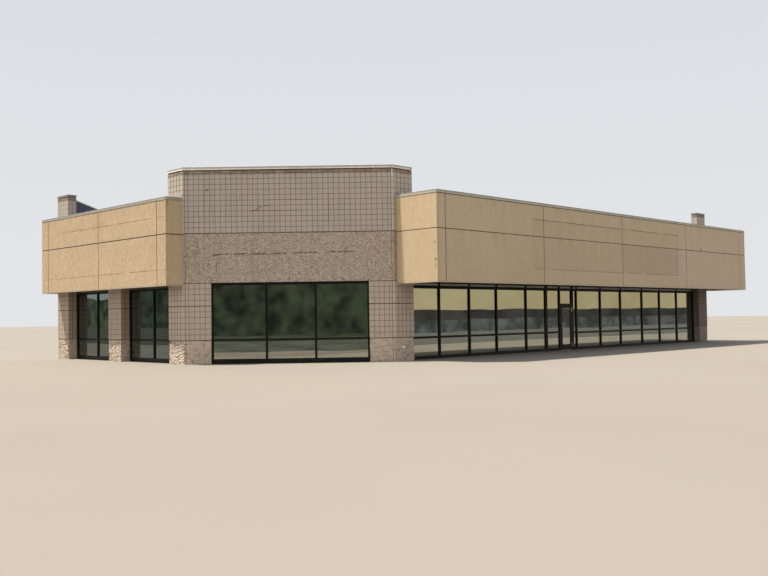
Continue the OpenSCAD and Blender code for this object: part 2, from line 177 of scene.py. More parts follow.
def wrap(acc, poly, vis, zones, seed=0, caps=True):
    """A closed prism whose visible faces are a height field: each zone has its own
    joints (h: level, v: upright, b: patches) or a rough split face, all cut inwards."""
    P = np.array(poly, float); n = len(P)
    assert sum(P[i][0] * P[(i + 1) % n][1] - P[(i + 1) % n][0] * P[i][1] for i in range(n)) > 0, "clockwise"
    E = np.roll(P, -1, 0) - P; L = np.hypot(E[:, 0], E[:, 1]); T = E / L[:, None]; N = np.stack([T[:, 1], -T[:, 0]], 1)
    rows_prev = None
    for k, Z in enumerate(zones):
        z0, z1 = Z["z"]; g0, g1, lead = Z.get("g0", 0), Z.get("g1", 0), Z.get("lead", 0.005)
        H = Z.get("h", []); B = Z.get("b", []); S = Z.get("split")
        zc = []
        for h in H:
            zc += [h["z"] - h["w"], h["z"] + h["w"]] + ([h["z"]] if h.get("k", "v") == "v" else [h["z"] - .55 * h["w"], h["z"] + .55 * h["w"]])
        for b in B:
            zc += [b["z"][0] - .006, b["z"][0], b["z"][1], b["z"][1] + .006]
        for e, vs in Z.get("v", {}).items():
            for v in vs:
                if "z" in v: zc += [v["z"][0] - .006, v["z"][0], v["z"][1], v["z"][1] + .006]
        if g0: zc.append(z0 + lead)
        if g1: zc.append(z1 - lead)
        if S: zc += list(np.arange(z0 + lead + S["step"], z1 - lead - S["step"] * .5, S["step"]))
        zc += Z.get("zl", [])
        zl = cuts(zc, z0, z1, Z.get("eps", 4e-4)); nz = len(zl)
        force = np.full(nz, np.nan)
        if g0: force[0] = g0
        if g1: force[-1] = g1
        fade = np.ones(nz)
        if g0: fade[0] = 0
        if g1: fade[-1] = 0

        def field(e, u, z, x, y, corner):
            D = np.zeros(np.broadcast(u, z).shape); jf = np.zeros_like(D); mk = np.zeros_like(D)
            for h in H:
                if corner and ("e" in h): continue
                if not corner and "e" in h and e not in h["e"]: continue
                a = prof(np.abs(z - h["z"]) / h["w"], h.get("k", "v"))
                if "u" in h: a = a * span(u, *h["u"])
                a = a + np.zeros_like(D)
                if "rag" in h: a = a * np.clip((vnoise(x * 3.1, y * 3.1, z * 0 + h["z"] * 7, seed + 5) - h["rag"]) * 9, 0, 1)
                D = np.maximum(D, h["d"] * a); jf = np.maximum(jf, h.get("s", 1) * a)
            if not corner:
                for v in Z.get("v", {}).get(e, []):
                    a = prof(np.abs(u - v["u"]) / v["w"], v.get("k", "v"))
                    if "z" in v: a = a * span(z, *v["z"])
                    a = a + np.zeros_like(D)
                    D = np.maximum(D, v["d"] * a); jf = np.maximum(jf, v.get("s", 1) * a)
                for b in B:
                    if b["e"] != e: continue
                    a = span(u, *b["u"]) * span(z, *b["z"])
                    D = np.maximum(D, b["d"] * a); jf = np.maximum(jf, b.get("s", 0) * a); mk = np.maximum(mk, b.get("mk", 0) * a)
            for q in Z.get("band", []):
                mk = np.maximum(mk, q[2] * ((z >= q[0] - 1e-4) & (z <= q[1] + 1e-4)) + np.zeros_like(D))
            cav = np.zeros_like(D)
            if S:
                a = fbm(x * .72, y * .72, z * 1.25, S.get("f", 8.0), 4, seed + 3, .62)
                r = 1 - np.abs(2 * fbm(x * .7 + 7, y * .7, z * 1.4, S.get("f", 8.0) * .8, 3, seed + 9) - 1) * 1.6
                c = np.clip((a - .34) * 2.4, 0, 1) * .7 + np.clip(r, 0, 1) ** 3 * .3
                c = c * (fade[:, None] if not corner else fade)
                D = D + S["amp"] * c; cav = c
            fr = force[:, None] if not corner else force
            D = np.where(np.isnan(fr), D, fr + 0 * D); jf = np.where(np.isnan(fr), jf, 1.0); cav = np.where(np.isnan(fr), cav, 0)
            return D, jf, cav, mk

        ci = []
        for i in range(n):
            x = np.full(nz, P[i, 0]); y = np.full(nz, P[i, 1])
            D, jf, cav, mk = field(i, np.zeros(nz), zl, x, y, True)
            mk = np.maximum(mk, Z.get("cmk", {}).get(i, 0))
            a, b = vis[i - 1], vis[i]
            if a or b:
                M = np.array([N[i - 1], N[i]]); rhs = np.stack([D * bool(a), D * bool(b)])
                dx = np.linalg.solve(M, rhs) if abs(np.linalg.det(M)) > 1e-6 else N[i][:, None] * D
            else:
                dx = np.zeros((2, nz))
            ci.append(acc.verts(np.stack([x - dx[0], y - dx[1], zl], 1), jf, cav, mk))
        rows = []
        hc = np.array(sorted([h["z"] for h in H if h.get("cell", True)])); fresh = []
        for i in range(n):
            j = (i + 1) % n
            if vis[i]:
                V = Z.get("v", {}).get(i, [])
                uc = []
                for v in V:
                    uc += [v["u"] - v["w"], v["u"] + v["w"]] + ([v["u"]] if v.get("k", "v") == "v" else [v["u"] - .55 * v["w"], v["u"] + .55 * v["w"]])
                for b in B:
                    if b["e"] == i: uc += [b["u"][0] - .006, b["u"][0], b["u"][1], b["u"][1] + .006]
                for h in H:
                    if "u" in h and i in h.get("e", [i]): uc += [h["u"][0] - .006, h["u"][0], h["u"][1], h["u"][1] + .006]
                    if "rag" in h: uc += list(np.arange(.05, L[i], .1))
                if S: uc += list(np.arange(S["step"], L[i] - S["step"] * .5, S["step"]))
                ul = cuts([q for q in uc if 0 < q < L[i]], 0, L[i], Z.get("eps", 4e-4)); nu = len(ul)
            else:
                V = []; ul = np.array([0, L[i]]); nu = 2
            if nu > 2:
                u = ul[1:-1][None, :] + np.zeros((nz, 1)); z = zl[:, None] + np.zeros_like(u)
                x = P[i, 0] + T[i, 0] * u; y = P[i, 1] + T[i, 1] * u
                D, jf, cav, mk = field(i, u, z, x, y, False)
                ids = acc.verts(np.stack([x - N[i, 0] * D, y - N[i, 1] * D, z], 2), jf.ravel(), cav.ravel(), mk.ravel()).reshape(nz, nu - 2)
                idx = np.concatenate([ci[i][:, None], ids, ci[j][:, None]], 1)
            else:
                idx = np.stack([ci[i], ci[j]], 1)
            q = np.stack([idx[:-1, :-1], idx[:-1, 1:], idx[1:, 1:], idx[1:, :-1]], 2)
            vc = np.array(sorted(v["u"] for v in V if v.get("cell", True)))
            um = (ul[:-1] + ul[1:]) / 2; zm = (zl[:-1] + zl[1:]) / 2
            cu = np.searchsorted(vc, um) if len(vc) else np.zeros(len(um), int)
            cz = np.searchsorted(hc, zm) if len(hc) else np.zeros(len(zm), int)
            if Z.get("bond"):
                cu = (cu[None, :] + (cz[:, None] % 2)) // 2
            else:
                cu = cu[None, :] + 0 * cz[:, None]
            tone = h3(cu.astype(np.int64) + 31 * i, cz[:, None] + 0 * cu + 97 * k, np.full_like(cu, seed), 3)
            acc.quads(q.reshape(-1, 4), tone.reshape(-1))
            rows.append(idx)
        if k == 0 and caps:
            acc.poly([q for r in rows for q in r[0, :-1]][::-1])
        if rows_prev is not None:
            for i in range(n):
                a, b = rows_prev[i][-1], rows[i][0]
                ca = np.concatenate(acc.v); pa = ca[a]; pb = ca[b]
                ua = (pa[:, :2] - P[i]) @ T[i]; ub = (pb[:, :2] - P[i]) @ T[i]
                acc.v = [ca]
                p = q = 0
                while p < len(a) - 1 or q < len(b) - 1:
                    if q == len(b) - 1 or (p < len(a) - 1 and ua[p + 1] <= ub[q + 1]):
                        acc.poly([a[p], a[p + 1], b[q]]); p += 1
                    else:
                        acc.poly([a[p], b[q + 1], b[q]]); q += 1
        rows_prev = rows
    if caps:
        acc.poly([q for r in rows_prev for q in r[-1, :-1]])
    return acc


# ---------------------------------------------------------------- bars, boxes, rods
class Local:
    """Places (u along, n inwards, z up) of a wall into plan coordinates."""
    def __init__(s, o, u, n): s.o, s.u, s.n = np.array(o, float), np.array(u, float), np.array(n, float)

    def __call__(s, p):
        p = np.asarray(p, float)
        return np.stack([s.o[0] + s.u[0] * p[..., 0] + s.n[0] * p[..., 1], s.o[1] + s.u[1] * p[..., 0] + s.n[1] * p[..., 1], p[..., 2]], -1)


WORLD = Local((0, 0), (1, 0), (0, 1))
LEFT = Local((0, 0), (0, -1), (1, 0))                      # u = -Y, n = +X
CHAM = Local((0, CH), (1 / R2, -1 / R2), (1 / R2, 1 / R2))   # u along the chamfer, n inwards


def bar(acc, a, b, bev=0.0025, T=WORLD, tone=0.5, mi=0, mk=0.0, jf=0.0):
    """A box between two corners with every edge taken off."""
    a, b = np.array(a, float), np.array(b, float)
    c = min(bev, *(0.45 * (b - a)))
    co, at = [], {}
    for ix in (0, 1):
        for iy in (0, 1):
            for iz in (0, 1):
                for ax in range(3):
                    s = [ix, iy, iz]; p = [(b if s[k] else a)[k] + ((-c if s[k] else c) if k != ax else 0) for k in range(3)]
                    at[ix, iy, iz, ax] = len(co); co.append(p)
    i = acc.verts(T(np.array(co)), jf=jf, mk=mk); g = lambda x, y, z, k: int(i[at[x, y, z, k]])
    F = []
    for s in (0, 1):
        F.append([g(s, 0, 0, 0), g(s, 1, 0, 0), g(s, 1, 1, 0), g(s, 0, 1, 0)][::1 if s else -1])
        F.append([g(0, s, 0, 1), g(0, s, 1, 1), g(1, s, 1, 1), g(1, s, 0, 1)][::1 if s else -1])
        F.append([g(0, 0, s, 2), g(1, 0, s, 2), g(1, 1, s, 2), g(0, 1, s, 2)][::1 if s else -1])
    cen = (a + b) / 2
    for p in (0, 1):
        for q in (0, 1):
            F.append([g(p, q, 0, 0), g(p, q, 1, 0), g(p, q, 1, 1), g(p, q, 0, 1)][::-1 if p == q else 1])
            F.append([g(p, 0, q, 0), g(p, 1, q, 0), g(p, 1, q, 2), g(p, 0, q, 2)][::1 if p == q else -1])
            F.append([g(0, p, q, 1), g(1, p, q, 1), g(1, p, q, 2), g(0, p, q, 2)][::-1 if p == q else 1])
    for x in (0, 1):
        for y in (0, 1):
            for z in (0, 1):
                F.append([g(x, y, z, 0), g(x, y, z, 1), g(x, y, z, 2)][::1 if (x + y + z) % 2 else -1])
    for f_ in F:
        acc.poly(f_, tone, mi)


def ring(acc, u0, u1, z0, z1, w, n0, n1, T, mi=0, tone=0.5):
    """A flat rectangular frame, one closed solid: outer edge u0..u1, z0..z1, strip w wide."""
    co = []
    for n in (n0, n1):
        for d in (0, w):
            co += [(u0 + d, n, z0 + d), (u1 - d, n, z0 + d), (u1 - d, n, z1 - d), (u0 + d, n, z1 - d)]
    i = acc.verts(T(np.array(co)))
    for k in range(4):
        m = (k + 1) % 4
        acc.poly([i[k], i[m], i[4 + m], i[4 + k]], tone, mi)
        acc.poly([i[8 + m], i[8 + k], i[12 + k], i[12 + m]], tone, mi)
        acc.poly([i[m], i[k], i[8 + k], i[8 + m]], tone, mi)
        acc.poly([i[4 + k], i[4 + m], i[12 + m], i[12 + k]], tone, mi)


def rod(acc, pts, rad, seg=14, tone=0.5, mi=0, T=WORLD):
    """A closed tube along points, with one radius a point (a turned part where it changes)."""
    pts = [Vector(p) for p in pts]; m = len(pts); rad = list(rad) if np.ndim(rad) else [rad] * m
    rings = []; ref = None
    for k, p in enumerate(pts):
        a = (pts[k] - pts[k - 1]) if k else (pts[1] - pts[0]); b = (pts[k + 1] - pts[k]) if k < m - 1 else a
        d = ((a.normalized() if a.length > 1e-9 else b.normalized()) + (b.normalized() if b.length > 1e-9 else a.normalized())).normalized()
        if ref is None:
            ref = Vector((0, 0, 1)) if abs(d.z) < .9 else Vector((1, 0, 0))
        x = (ref - d * ref.dot(d)).normalized(); y = d.cross(x); ref = x
        rings.append(acc.verts(T(np.array([list(p + (x * math.cos(2 * math.pi * t / seg) + y * math.sin(2 * math.pi * t / seg)) * rad[k]) for t in range(seg)]))))
    for a, b in zip(rings[:-1], rings[1:]):
        for t in range(seg):
            s = (t + 1) % seg
            acc.poly([a[t], a[s], b[s], b[t]], tone, mi)
    acc.poly(list(rings[0])[::-1], tone, mi); acc.poly(list(rings[-1]), tone, mi)


# ---------------------------------------------------------------- materials
class M:
    def __init__(s, name):
        s.m = bpy.data.materials.new(name); s.m.use_nodes = True
        s.nt = s.m.node_tree; s.b = s.nt.nodes["Principled BSDF"]; s.o = s.nt.nodes["Material Output"]

    def n(s, kind, **kw):
        nd = s.nt.nodes.new("ShaderNode" + kind)
        for k, v in kw.items():
            if k.startswith("i_"):
                nd.inputs[k[2:].replace("_", " ")].default_value = v
            else:
                setattr(nd, k, v)
        return nd

    def l(s, a, b): s.nt.links.new(a, b)

    def coord(s): return s.n("TexCoord").outputs["Object"]

    def mapped(s, sc, loc=(0, 0, 0)):
        mp = s.n("Mapping"); mp.inputs["Scale"].default_value = sc; mp.inputs["Location"].default_value = loc
        s.l(s.coord(), mp.inputs["Vector"]); return mp.outputs["Vector"]

    def noise(s, scale, detail=3, rough=.55, sc=(1, 1, 1), loc=(0, 0, 0), lac=2.0):
        nd = s.n("TexNoise"); nd.inputs["Scale"].default_value = scale; nd.inputs["Detail"].default_value = detail
        nd.inputs["Roughness"].default_value = rough; nd.inputs["Lacunarity"].default_value = lac
        s.l(s.mapped(sc, loc), nd.inputs["Vector"]); return nd.outputs["Fac"]

    def attr(s, name):
        nd = s.n("Attribute"); nd.attribute_name = name; return nd.outputs["Fac"]

    def rng(s, x, a, b, c=0.0, d=1.0):
        nd = s.n("MapRange"); nd.clamp = True
        for i, v in enumerate((a, b, c, d)): nd.inputs[i + 1].default_value = v
        s.l(x, nd.inputs[0]); return nd.outputs[0]

    def math(s, op, a, b=None):
        nd = s.n("Math"); nd.operation = op
        for i, v in enumerate((a, b)):
            if v is None: continue
            if isinstance(v, (int, float)): nd.inputs[i].default_value = v
            else: s.l(v, nd.inputs[i])
        return nd.outputs[0]

    def mix(s, fac, a, b, mode="MIX"):
        nd = s.n("Mix"); nd.data_type = "RGBA"; nd.blend_type = mode; nd.clamp_factor = True
        for sock, v in ((nd.inputs[0], fac), (nd.inputs[6], a), (nd.inputs[7], b)):
            if isinstance(v, (int, float)): sock.default_value = v
            elif isinstance(v, (tuple, list)): sock.default_value = (*v[:3], 1)
            else: s.l(v, sock)
        return nd.outputs[2]

    def bump(s, h, dist, strength=1.0, after=None):
        nd = s.n("Bump"); nd.inputs["Strength"].default_value = strength; nd.inputs["Distance"].default_value = dist
        s.l(h, nd.inputs["Height"])
        if after is not None: s.l(after, nd.inputs["Normal"])
        return nd.outputs["Normal"]

    def done(s, color=None, rough=.8, normal=None, metal=0.0, spec=None, ior=None, alpha=None):
        if color is not None:
            if isinstance(color, (tuple, list)): s.b.inputs["Base Color"].default_value = (*color[:3], 1)
            else: s.l(color, s.b.inputs["Base Color"])
        if isinstance(rough, (int, float)): s.b.inputs["Roughness"].default_value = rough
        else: s.l(rough, s.b.inputs["Roughness"])
        if normal is not None: s.l(normal, s.b.inputs["Normal"])
        s.b.inputs["Metallic"].default_value = metal
        if spec is not None: s.b.inputs["Specular IOR Level"].default_value = spec
        if ior is not None: s.b.inputs["IOR"].default_value = ior
        if alpha is not None: s.b.inputs["Alpha"].default_value = alpha
        return s.m


def drips(m, top_scale=1.0):
    """Upright dirt runs: fine streaks broken up by a slow noise."""
    a = m.noise(1.0, 4, .65, sc=(9, 9, .35)); b = m.noise(.55, 2, .5)
    return m.math("MULTIPLY", m.rng(a, .46, .68), m.rng(b, .38, .62))


def make_block():
    m = M("block_masonry")
    tone, jf, cav, mk = m.attr("tone"), m.attr("jf"), m.attr("cav"), m.attr("mk")
    c = m.mix(tone, (.432, .354, .286), (.464, .384, .314))
    c = m.mix(m.rng(m.noise(.45, 3, .6), .35, .68, 0, .7), c, (.442, .356, .282))
    grain = m.noise(95, 2, .7); mid = m.noise(14, 4, .65)
    c = m.mix(m.rng(mid, .3, .75, 0, .28), c, (.270, .208, .160))
    c = m.mix(m.rng(grain, .35, .7, 0, .25), c, (.52, .45, .38))
    c = m.mix(m.math("MULTIPLY", drips(m), .40), c, (.190, .148, .118))
    # painted shade: the hollows of a rough face are darkened by their depth
    c = m.mix(m.math("MULTIPLY", m.rng(cav, .30, 1.0), .85), c, (.150, .108, .080))
    jv = m.rng(m.noise(1.7, 4, .7), .30, .60, .70, 1.0)
    # the tops of the end piers are grimier than the walls
    pos = m.n("SeparateXYZ"); m.l(m.coord(), pos.inputs[0])
    far = m.math("MULTIPLY", m.math("MAXIMUM", m.rng(pos.outputs["Y"], 5.5, 6.0), m.rng(pos.outputs["X"], 12.8, 13.2)), m.rng(pos.outputs["Z"], 4.2, 4.8))
    back = m.math("MAXIMUM", m.math("MULTIPLY", m.rng(pos.outputs["X"], 15.50, 15.55), m.rng(pos.outputs["Y"], -6.63, -6.61)), m.math("MULTIPLY", m.rng(pos.outputs["Y"], 8.60, 8.65), m.rng(pos.outputs["X"], -15.335, -15.315)))
    piers = m.rng(back, 0, 1, 1, 0); far = m.math("MULTIPLY", far, piers)
    c = m.mix(m.math("MULTIPLY", far, .30), c, (.235, .205, .180))
    # painted shade: the far end pier's faces below the fascia are darkened for the shade they stand in
    c = m.mix(m.math("MULTIPLY", m.math("MULTIPLY", m.rng(pos.outputs["X"], 14.83, 14.84, 0, .78), m.rng(pos.outputs["X"], 15.852, 15.860, 1, 0)), m.math("MULTIPLY", m.rng(pos.outputs["Z"], 3.0, 3.3, 1, 0), m.rng(pos.outputs["Y"], -6.5, -6.4, 1, 0))), c, (.140, .118, .100))
    # the high blocks have weathered greyer than the piers below them
    c = m.mix(m.math("MULTIPLY", m.rng(pos.outputs["Z"], 4.40, 4.60, 0, .27), piers), c, (.372, .368, .356))
    # painted shade: under the short wing's fascia the piers are tinted warm brown for the shade they stand in
    glass_film_and_painted_pier_shade = m.math("MULTIPLY", m.math("MULTIPLY", m.rng(pos.outputs["X"], -14.7, -14.6, 1, 0), m.math("MULTIPLY", m.rng(pos.outputs["Y"], .4, .5), m.rng(pos.outputs["Y"], 8.975, 8.985, 1, 0))), m.rng(pos.outputs["Z"], 3.0, 3.2, 1, 0))
    c = m.mix(m.math("MULTIPLY", glass_film_and_painted_pier_shade, m.rng(pos.outputs["X"], -15.72, -15.69, .18, .52)), c, (.235, .165, .105))
    c = m.mix(m.math("MULTIPLY", m.rng(pos.outputs["Z"], 7.09, 7.17), m.rng(m.noise(1.0, 4, .7, sc=(3, 3, 9)), .34, .58, .30, .88)), c, (.165, .125, .094))
    c = m.mix(m.math("MULTIPLY", m.rng(jf, .10, .50), m.math("MULTIPLY", jv, m.rng(far, 0, 1, 1, .55))), c, (.105, .066, .044))
    worn = m.rng(m.noise(1.0, 4, .7, sc=(5, 5, 8)), .40, .60, .15, 1)
    c = m.mix(m.math("MULTIPLY", m.rng(mk, .1, 1.0), worn), c, (.72, .66, .59))
    h = m.math("ADD", m.math("MULTIPLY", grain, .35), mid)
    nrm = m.bump(h, .006, .55)
    return m.done(c, m.rng(grain, .3, .8, .82, .96), nrm, spec=.25)


def make_split():
    m = M("block_split_face")
    jf, cav, mk = m.attr("jf"), m.attr("cav"), m.attr("mk")
    slow = m.noise(.5, 3, .6)
    c = m.mix(m.rng(slow, .35, .65), (.480, .388, .300), (.530, .432, .338))
    pos = m.n("SeparateXYZ"); m.l(m.coord(), pos.inputs[0]); base = m.rng(pos.outputs["Z"], .87, .92, 1, 0)
    c = m.mix(m.math("MULTIPLY", base, .88), c, (.672, .545, .420))
    chip = m.n("TexVoronoi"); chip.feature = "F1"; chip.inputs["Scale"].default_value = 30; chip.inputs["Randomness"].default_value = 1
    m.l(m.mapped((1, 1, 1.6)), chip.inputs["Vector"])
    grain = m.noise(110, 3, .75); mid = m.noise(26, 5, .7, sc=(.8, .8, 1.4))
    # the broken face runs in short wavy ripples, mostly level and leaning both ways
    wv = m.n("TexNoise"); wv.inputs["Scale"].default_value = 9.5; wv.inputs["Detail"].default_value = 3; wv.inputs["Roughness"].default_value = .55; wv.inputs["Distortion"].default_value = 2.2
    m.l(m.mapped((1, 1, 2.3), (3, 1, 7)), wv.inputs["Vector"]); ripple = wv.outputs["Fac"]
    # painted sunlight: the base faces to the short wing's side are made paler, with painted shadows in their pits and
    # stronger blotches
    sun_side_paint = m.math("MULTIPLY", base, m.rng(pos.outputs["X"], -15.705, -15.690, 1, 0))
    # painted shade: the far end pier is darkened for the shade it stands in
    end_pier_painted_shade = m.math("MULTIPLY", m.rng(pos.outputs["X"], 14.83, 14.84, 0, .55), m.rng(pos.outputs["X"], 15.852, 15.860, 1, 0))
    c = m.mix(m.math("MULTIPLY", sun_side_paint, .74), c, (.93, .80, .63))
    kb = m.math("ADD", m.rng(base, 0, 1, 1, .38), m.math("MULTIPLY", sun_side_paint, .62)); k_ = lambda x, a, b, u, v: m.math("MULTIPLY", m.rng(x, a, b, u, v), kb)
    c = m.mix(k_(ripple, .51, .57, 0, .66), c, (.205, .148, .108))
    c = m.mix(k_(ripple, .42, .48, .62, 0), c, (.78, .67, .55))
    r2 = m.noise(23, 3, .6, sc=(1, 1, 1.5), loc=(1, 8, 3))
    c = m.mix(k_(r2, .52, .60, 0, .55), c, (.200, .145, .106))
    c = m.mix(k_(r2, .39, .46, .50, 0), c, (.76, .65, .53))
    c = m.mix(m.rng(mid, .42, .70, 0, .42), c, (.245, .182, .136))
    c = m.mix(m.rng(grain, .42, .72, 0, .30), c, (.62, .53, .43))
    pit = m.n("TexVoronoi"); pit.feature = "F1"; pit.inputs["Scale"].default_value = 8.5; pit.inputs["Randomness"].default_value = 1
    m.l(m.mapped((1, 1, 1.25), (2, 7, 4)), pit.inputs["Vector"])
    # painted pit shadows, on the sunlit side only
    c = m.mix(m.math("MULTIPLY", m.math("MULTIPLY", m.rng(pit.outputs["Distance"], .42, .27), m.rng(m.noise(5.0, 3, .6), .38, .50)), sun_side_paint), c, (.225, .160, .110))
    # painted shade in the hollows of the rough face, deeper on the sunlit side
    c = m.mix(m.math("MULTIPLY", m.rng(cav, .40, .90), m.math("ADD", m.rng(base, 0, 1, .50, .55), m.math("MULTIPLY", sun_side_paint, .35))), c, (.120, .085, .062))
    c = m.mix(m.math("MULTIPLY", drips(m), .30), c, (.200, .150, .116))
    c = m.mix(end_pier_painted_shade, c, (.140, .120, .104))
    c = m.mix(m.rng(jf, .2, .7, 0, .9), c, (.070, .047, .034))
    worn = m.rng(m.noise(1.0, 4, .7, sc=(5, 5, 8)), .40, .60, .15, 1)
    c = m.mix(m.math("MULTIPLY", m.rng(mk, .1, 1.0), worn), c, (.72, .66, .59))
    h = m.math("ADD", m.math("ADD", m.math("MULTIPLY", mid, 1.0), m.math("MULTIPLY", grain, .22)), m.math("SUBTRACT", m.math("MULTIPLY", chip.outputs["Distance"], .8), m.math("MULTIPLY", ripple, 1.4)))
    nrm = m.bump(h, .018, 1.0)
    return m.done(c, .93, nrm, spec=.2)


def make_stucco():
    m = M("stucco_sand_finish")
    jf, mk = m.attr("jf"), m.attr("mk")
    slow = m.noise(.22, 3, .55)
    c = m.mix(m.rng(slow, .35, .66), (.480, .362, .222), (.522, .400, .252))
    # dirt runs hang from the coping and from the level joint, broken up on the way down
    xyz = m.n("SeparateXYZ"); m.l(m.coord(), xyz.inputs[0]); z = xyz.outputs["Z"]
    st = m.noise(1.0, 5, .74, sc=(21, 21, 2.6)); br = m.noise(1.6, 3, .6, loc=(3, 5, 1))
    st2 = m.noise(1.0, 4, .68, sc=(5.5, 5.5, .75), loc=(3, 5, 1))
    hang = m.math("MAXIMUM", m.rng(z, 5.15, 6.15, .25, 1.0), m.math("MULTIPLY", m.rng(z, 4.0, 4.86, .25, .8), m.rng(z, 4.89, 4.91, 1, 0)))
    left = m.rng(xyz.outputs["X"], -16.47, -16.44, 1.0, .34)
    c = m.mix(m.rng(xyz.outputs["X"], 8.39, 8.42, 0, .55), c, (.535, .415, .300))
    c = m.mix(m.math("MULTIPLY", m.rng(xyz.outputs["X"], -3.3, -3.26, 0, .35), m.rng(xyz.outputs["X"], 8.39, 8.42, 1, 0)), c, (.520, .405, .275))
    # painted shade: the long front, which stands in shade, is tinted a little greyer than the ends
    c = m.mix(m.math("MULTIPLY", m.rng(xyz.outputs["Y"], -8.985, -8.975, 1, 0), m.rng(xyz.outputs["X"], -9.9, -9.8, 0, .30)), c, (.560, .475, .385))
    c = m.mix(m.math("MULTIPLY", m.math("MULTIPLY", m.rng(st, .42, .66, 0, .85), m.rng(br, .30, .58, .45, 1)), left), c, (.270, .190, .116))
    c = m.mix(m.math("MULTIPLY", m.rng(st2, .46, .70, 0, .30), hang), c, (.230, .164, .104))
    mott = m.noise(15, 5, .74, sc=(1, 1, .6), loc=(9, 2, 4))
    c = m.mix(m.math("MULTIPLY", m.rng(mott, .42, .62, 0, .62), left), c, (.290, .206, .126))
    sand = m.noise(160, 2, .8); trowel = m.noise(7, 4, .6)
    c = m.mix(m.rng(sand, .38, .68, 0, .20), c, (.60, .47, .31))
    c = m.mix(m.rng(trowel, .42, .70, 0, .16), c, (.300, .215, .134))
    sp = m.n("TexVoronoi"); sp.feature = "F1"; sp.inputs["Scale"].default_value = 1.1; m.l(m.coord(), sp.inputs["Vector"])
    c = m.mix(m.rng(sp.outputs["Distance"], .012, .035, .5, 0), c, (.150, .105, .068))
    c = m.mix(m.rng(jf, .12, .6, 0, .94), c, (.075, .048, .030))
    c = m.mix(m.rng(mk, .05, .95), c, (.260, .186, .118))
    h = m.math("ADD", m.math("MULTIPLY", sand, .5), m.math("ADD", m.math("ADD", trowel, m.math("MULTIPLY", mott, .8)), m.math("MULTIPLY", st, .6)))
    nrm = m.bump(h, .006, .8)
    return m.done(c, m.rng(sand, .3, .8, .85, .97), nrm, spec=.2)


def make_cap():
    m = M("coping_sheet")
    mk, jf = m.attr("mk"), m.attr("jf")
    c = m.mix(m.rng(m.noise(1.2, 4, .6), .35, .68), (.365, .335, .280), (.430, .398, .335))
    c = m.mix(m.rng(mk, .2, .8), c, (.52, .47, .375))
    pos = m.n("SeparateXYZ"); m.l(m.coord(), pos.inputs[0])
    hi = m.math("MULTIPLY", m.rng(pos.outputs["Z"], 7.20, 7.28), m.rng(m.math("MAXIMUM", m.rng(pos.outputs["X"], -4, -2), m.rng(pos.outputs["Y"], 2, 4)), 0, 1, 1, 0))
    c = m.mix(m.math("MULTIPLY", hi, .85), c, (.92, .82, .71))
    c = m.mix(m.math("MULTIPLY", hi, m.rng(pos.outputs["Z"], 7.350, 7.362, 0, .85)), c, (.43, .405, .36))
    pc = m.math("MULTIPLY", m.rng(pos.outputs["Z"], 7.20, 7.28), m.rng(m.math("MAXIMUM", m.rng(pos.outputs["X"], -4, -2), m.rng(pos.outputs["Y"], 2, 4)), 0, 1, 0, 1))
    c = m.mix(m.math("MULTIPLY", pc, .80), c, (.205, .190, .165))
    c = m.mix(m.math("MULTIPLY", m.rng(pos.outputs["X"], -15.2, -15.1, .34, 0), m.rng(pos.outputs["Z"], 6.9, 7.0, 1, 0)), c, (.215, .198, .172))
    st = m.noise(1.0, 4, .7, sc=(14, 14, 1.2))
    c = m.mix(m.rng(st, .50, .72, 0, .55), c, (.150, .128, .100))
    c = m.mix(m.rng(m.noise(60, 3, .7), .45, .72, 0, .22), c, (.22, .20, .17))
    c = m.mix(m.rng(jf, .3, .9, 0, .85), c, (.06, .05, .04))
    nrm = m.bump(m.noise(2.2, 2, .5), .006, .5)
    return m.done(c, m.rng(st, .35, .7, .42, .62), nrm, metal=.35, spec=.4)


def make_dark():
    m = M("bronze_anodised")
    c = m.mix(m.rng(m.noise(2.0, 4, .6), .35, .7), (.0050, .0048, .0042), (.0095, .0088, .0075))
    dust = m.noise(1.0, 5, .7, sc=(6, 6, 1.4))
    z = m.n("SeparateXYZ"); m.l(m.coord(), z.inputs[0])
    low = m.rng(z.outputs["Z"], 0, .45, 1, .18)
    c = m.mix(m.math("MULTIPLY", m.rng(dust, .42, .72, 0, .35), low), c, (.070, .058, .044))
    c = m.mix(m.rng(m.attr("mk"), .3, .8), c, (.004, .004, .004))
    nrm = m.bump(m.noise(240, 2, .5), .0006, .4)
    return m.done(c, m.rng(dust, .35, .75, .34, .58), nrm, metal=.30, spec=.26)


def make_rubber_seal():
    m = M("glazing_gasket")
    c = m.mix(m.noise(30, 3, .6), (.006, .006, .006), (.018, .017, .016))
    return m.done(c, m.rng(m.noise(80, 2, .5), .3, .7, .55, .8), m.bump(m.noise(150, 2, .5), .0008, .5))


def make_glass(name, tint, alpha):
    m = M(name)
    sm = m.noise(.8, 4, .65, sc=(1, 1, 2.2)); dr = m.noise(1.0, 5, .7, sc=(16, 16, .9))
    c = m.mix(m.rng(sm, .35, .7), tint, tuple(t * 1.12 for t in tint))
    z = m.n("SeparateXYZ"); m.l(m.coord(), z.inputs[0])
    glass_film_and_painted_pier_shade = m.math("MULTIPLY", m.rng(dr, .50, .78, 0, .35), m.rng(z.outputs["Z"], .1, .7, 1, .12))
    c = m.mix(glass_film_and_painted_pier_shade, c, (.30, .285, .24))
    wav = m.noise(.42, 1, .4, sc=(1, 1, .7))
    nrm = m.bump(wav, .10, .045)
    return m.done(c, m.rng(glass_film_and_painted_pier_shade, 0, .5, .012, .09), nrm, metal=.975, spec=.5, ior=1.6, alpha=alpha)


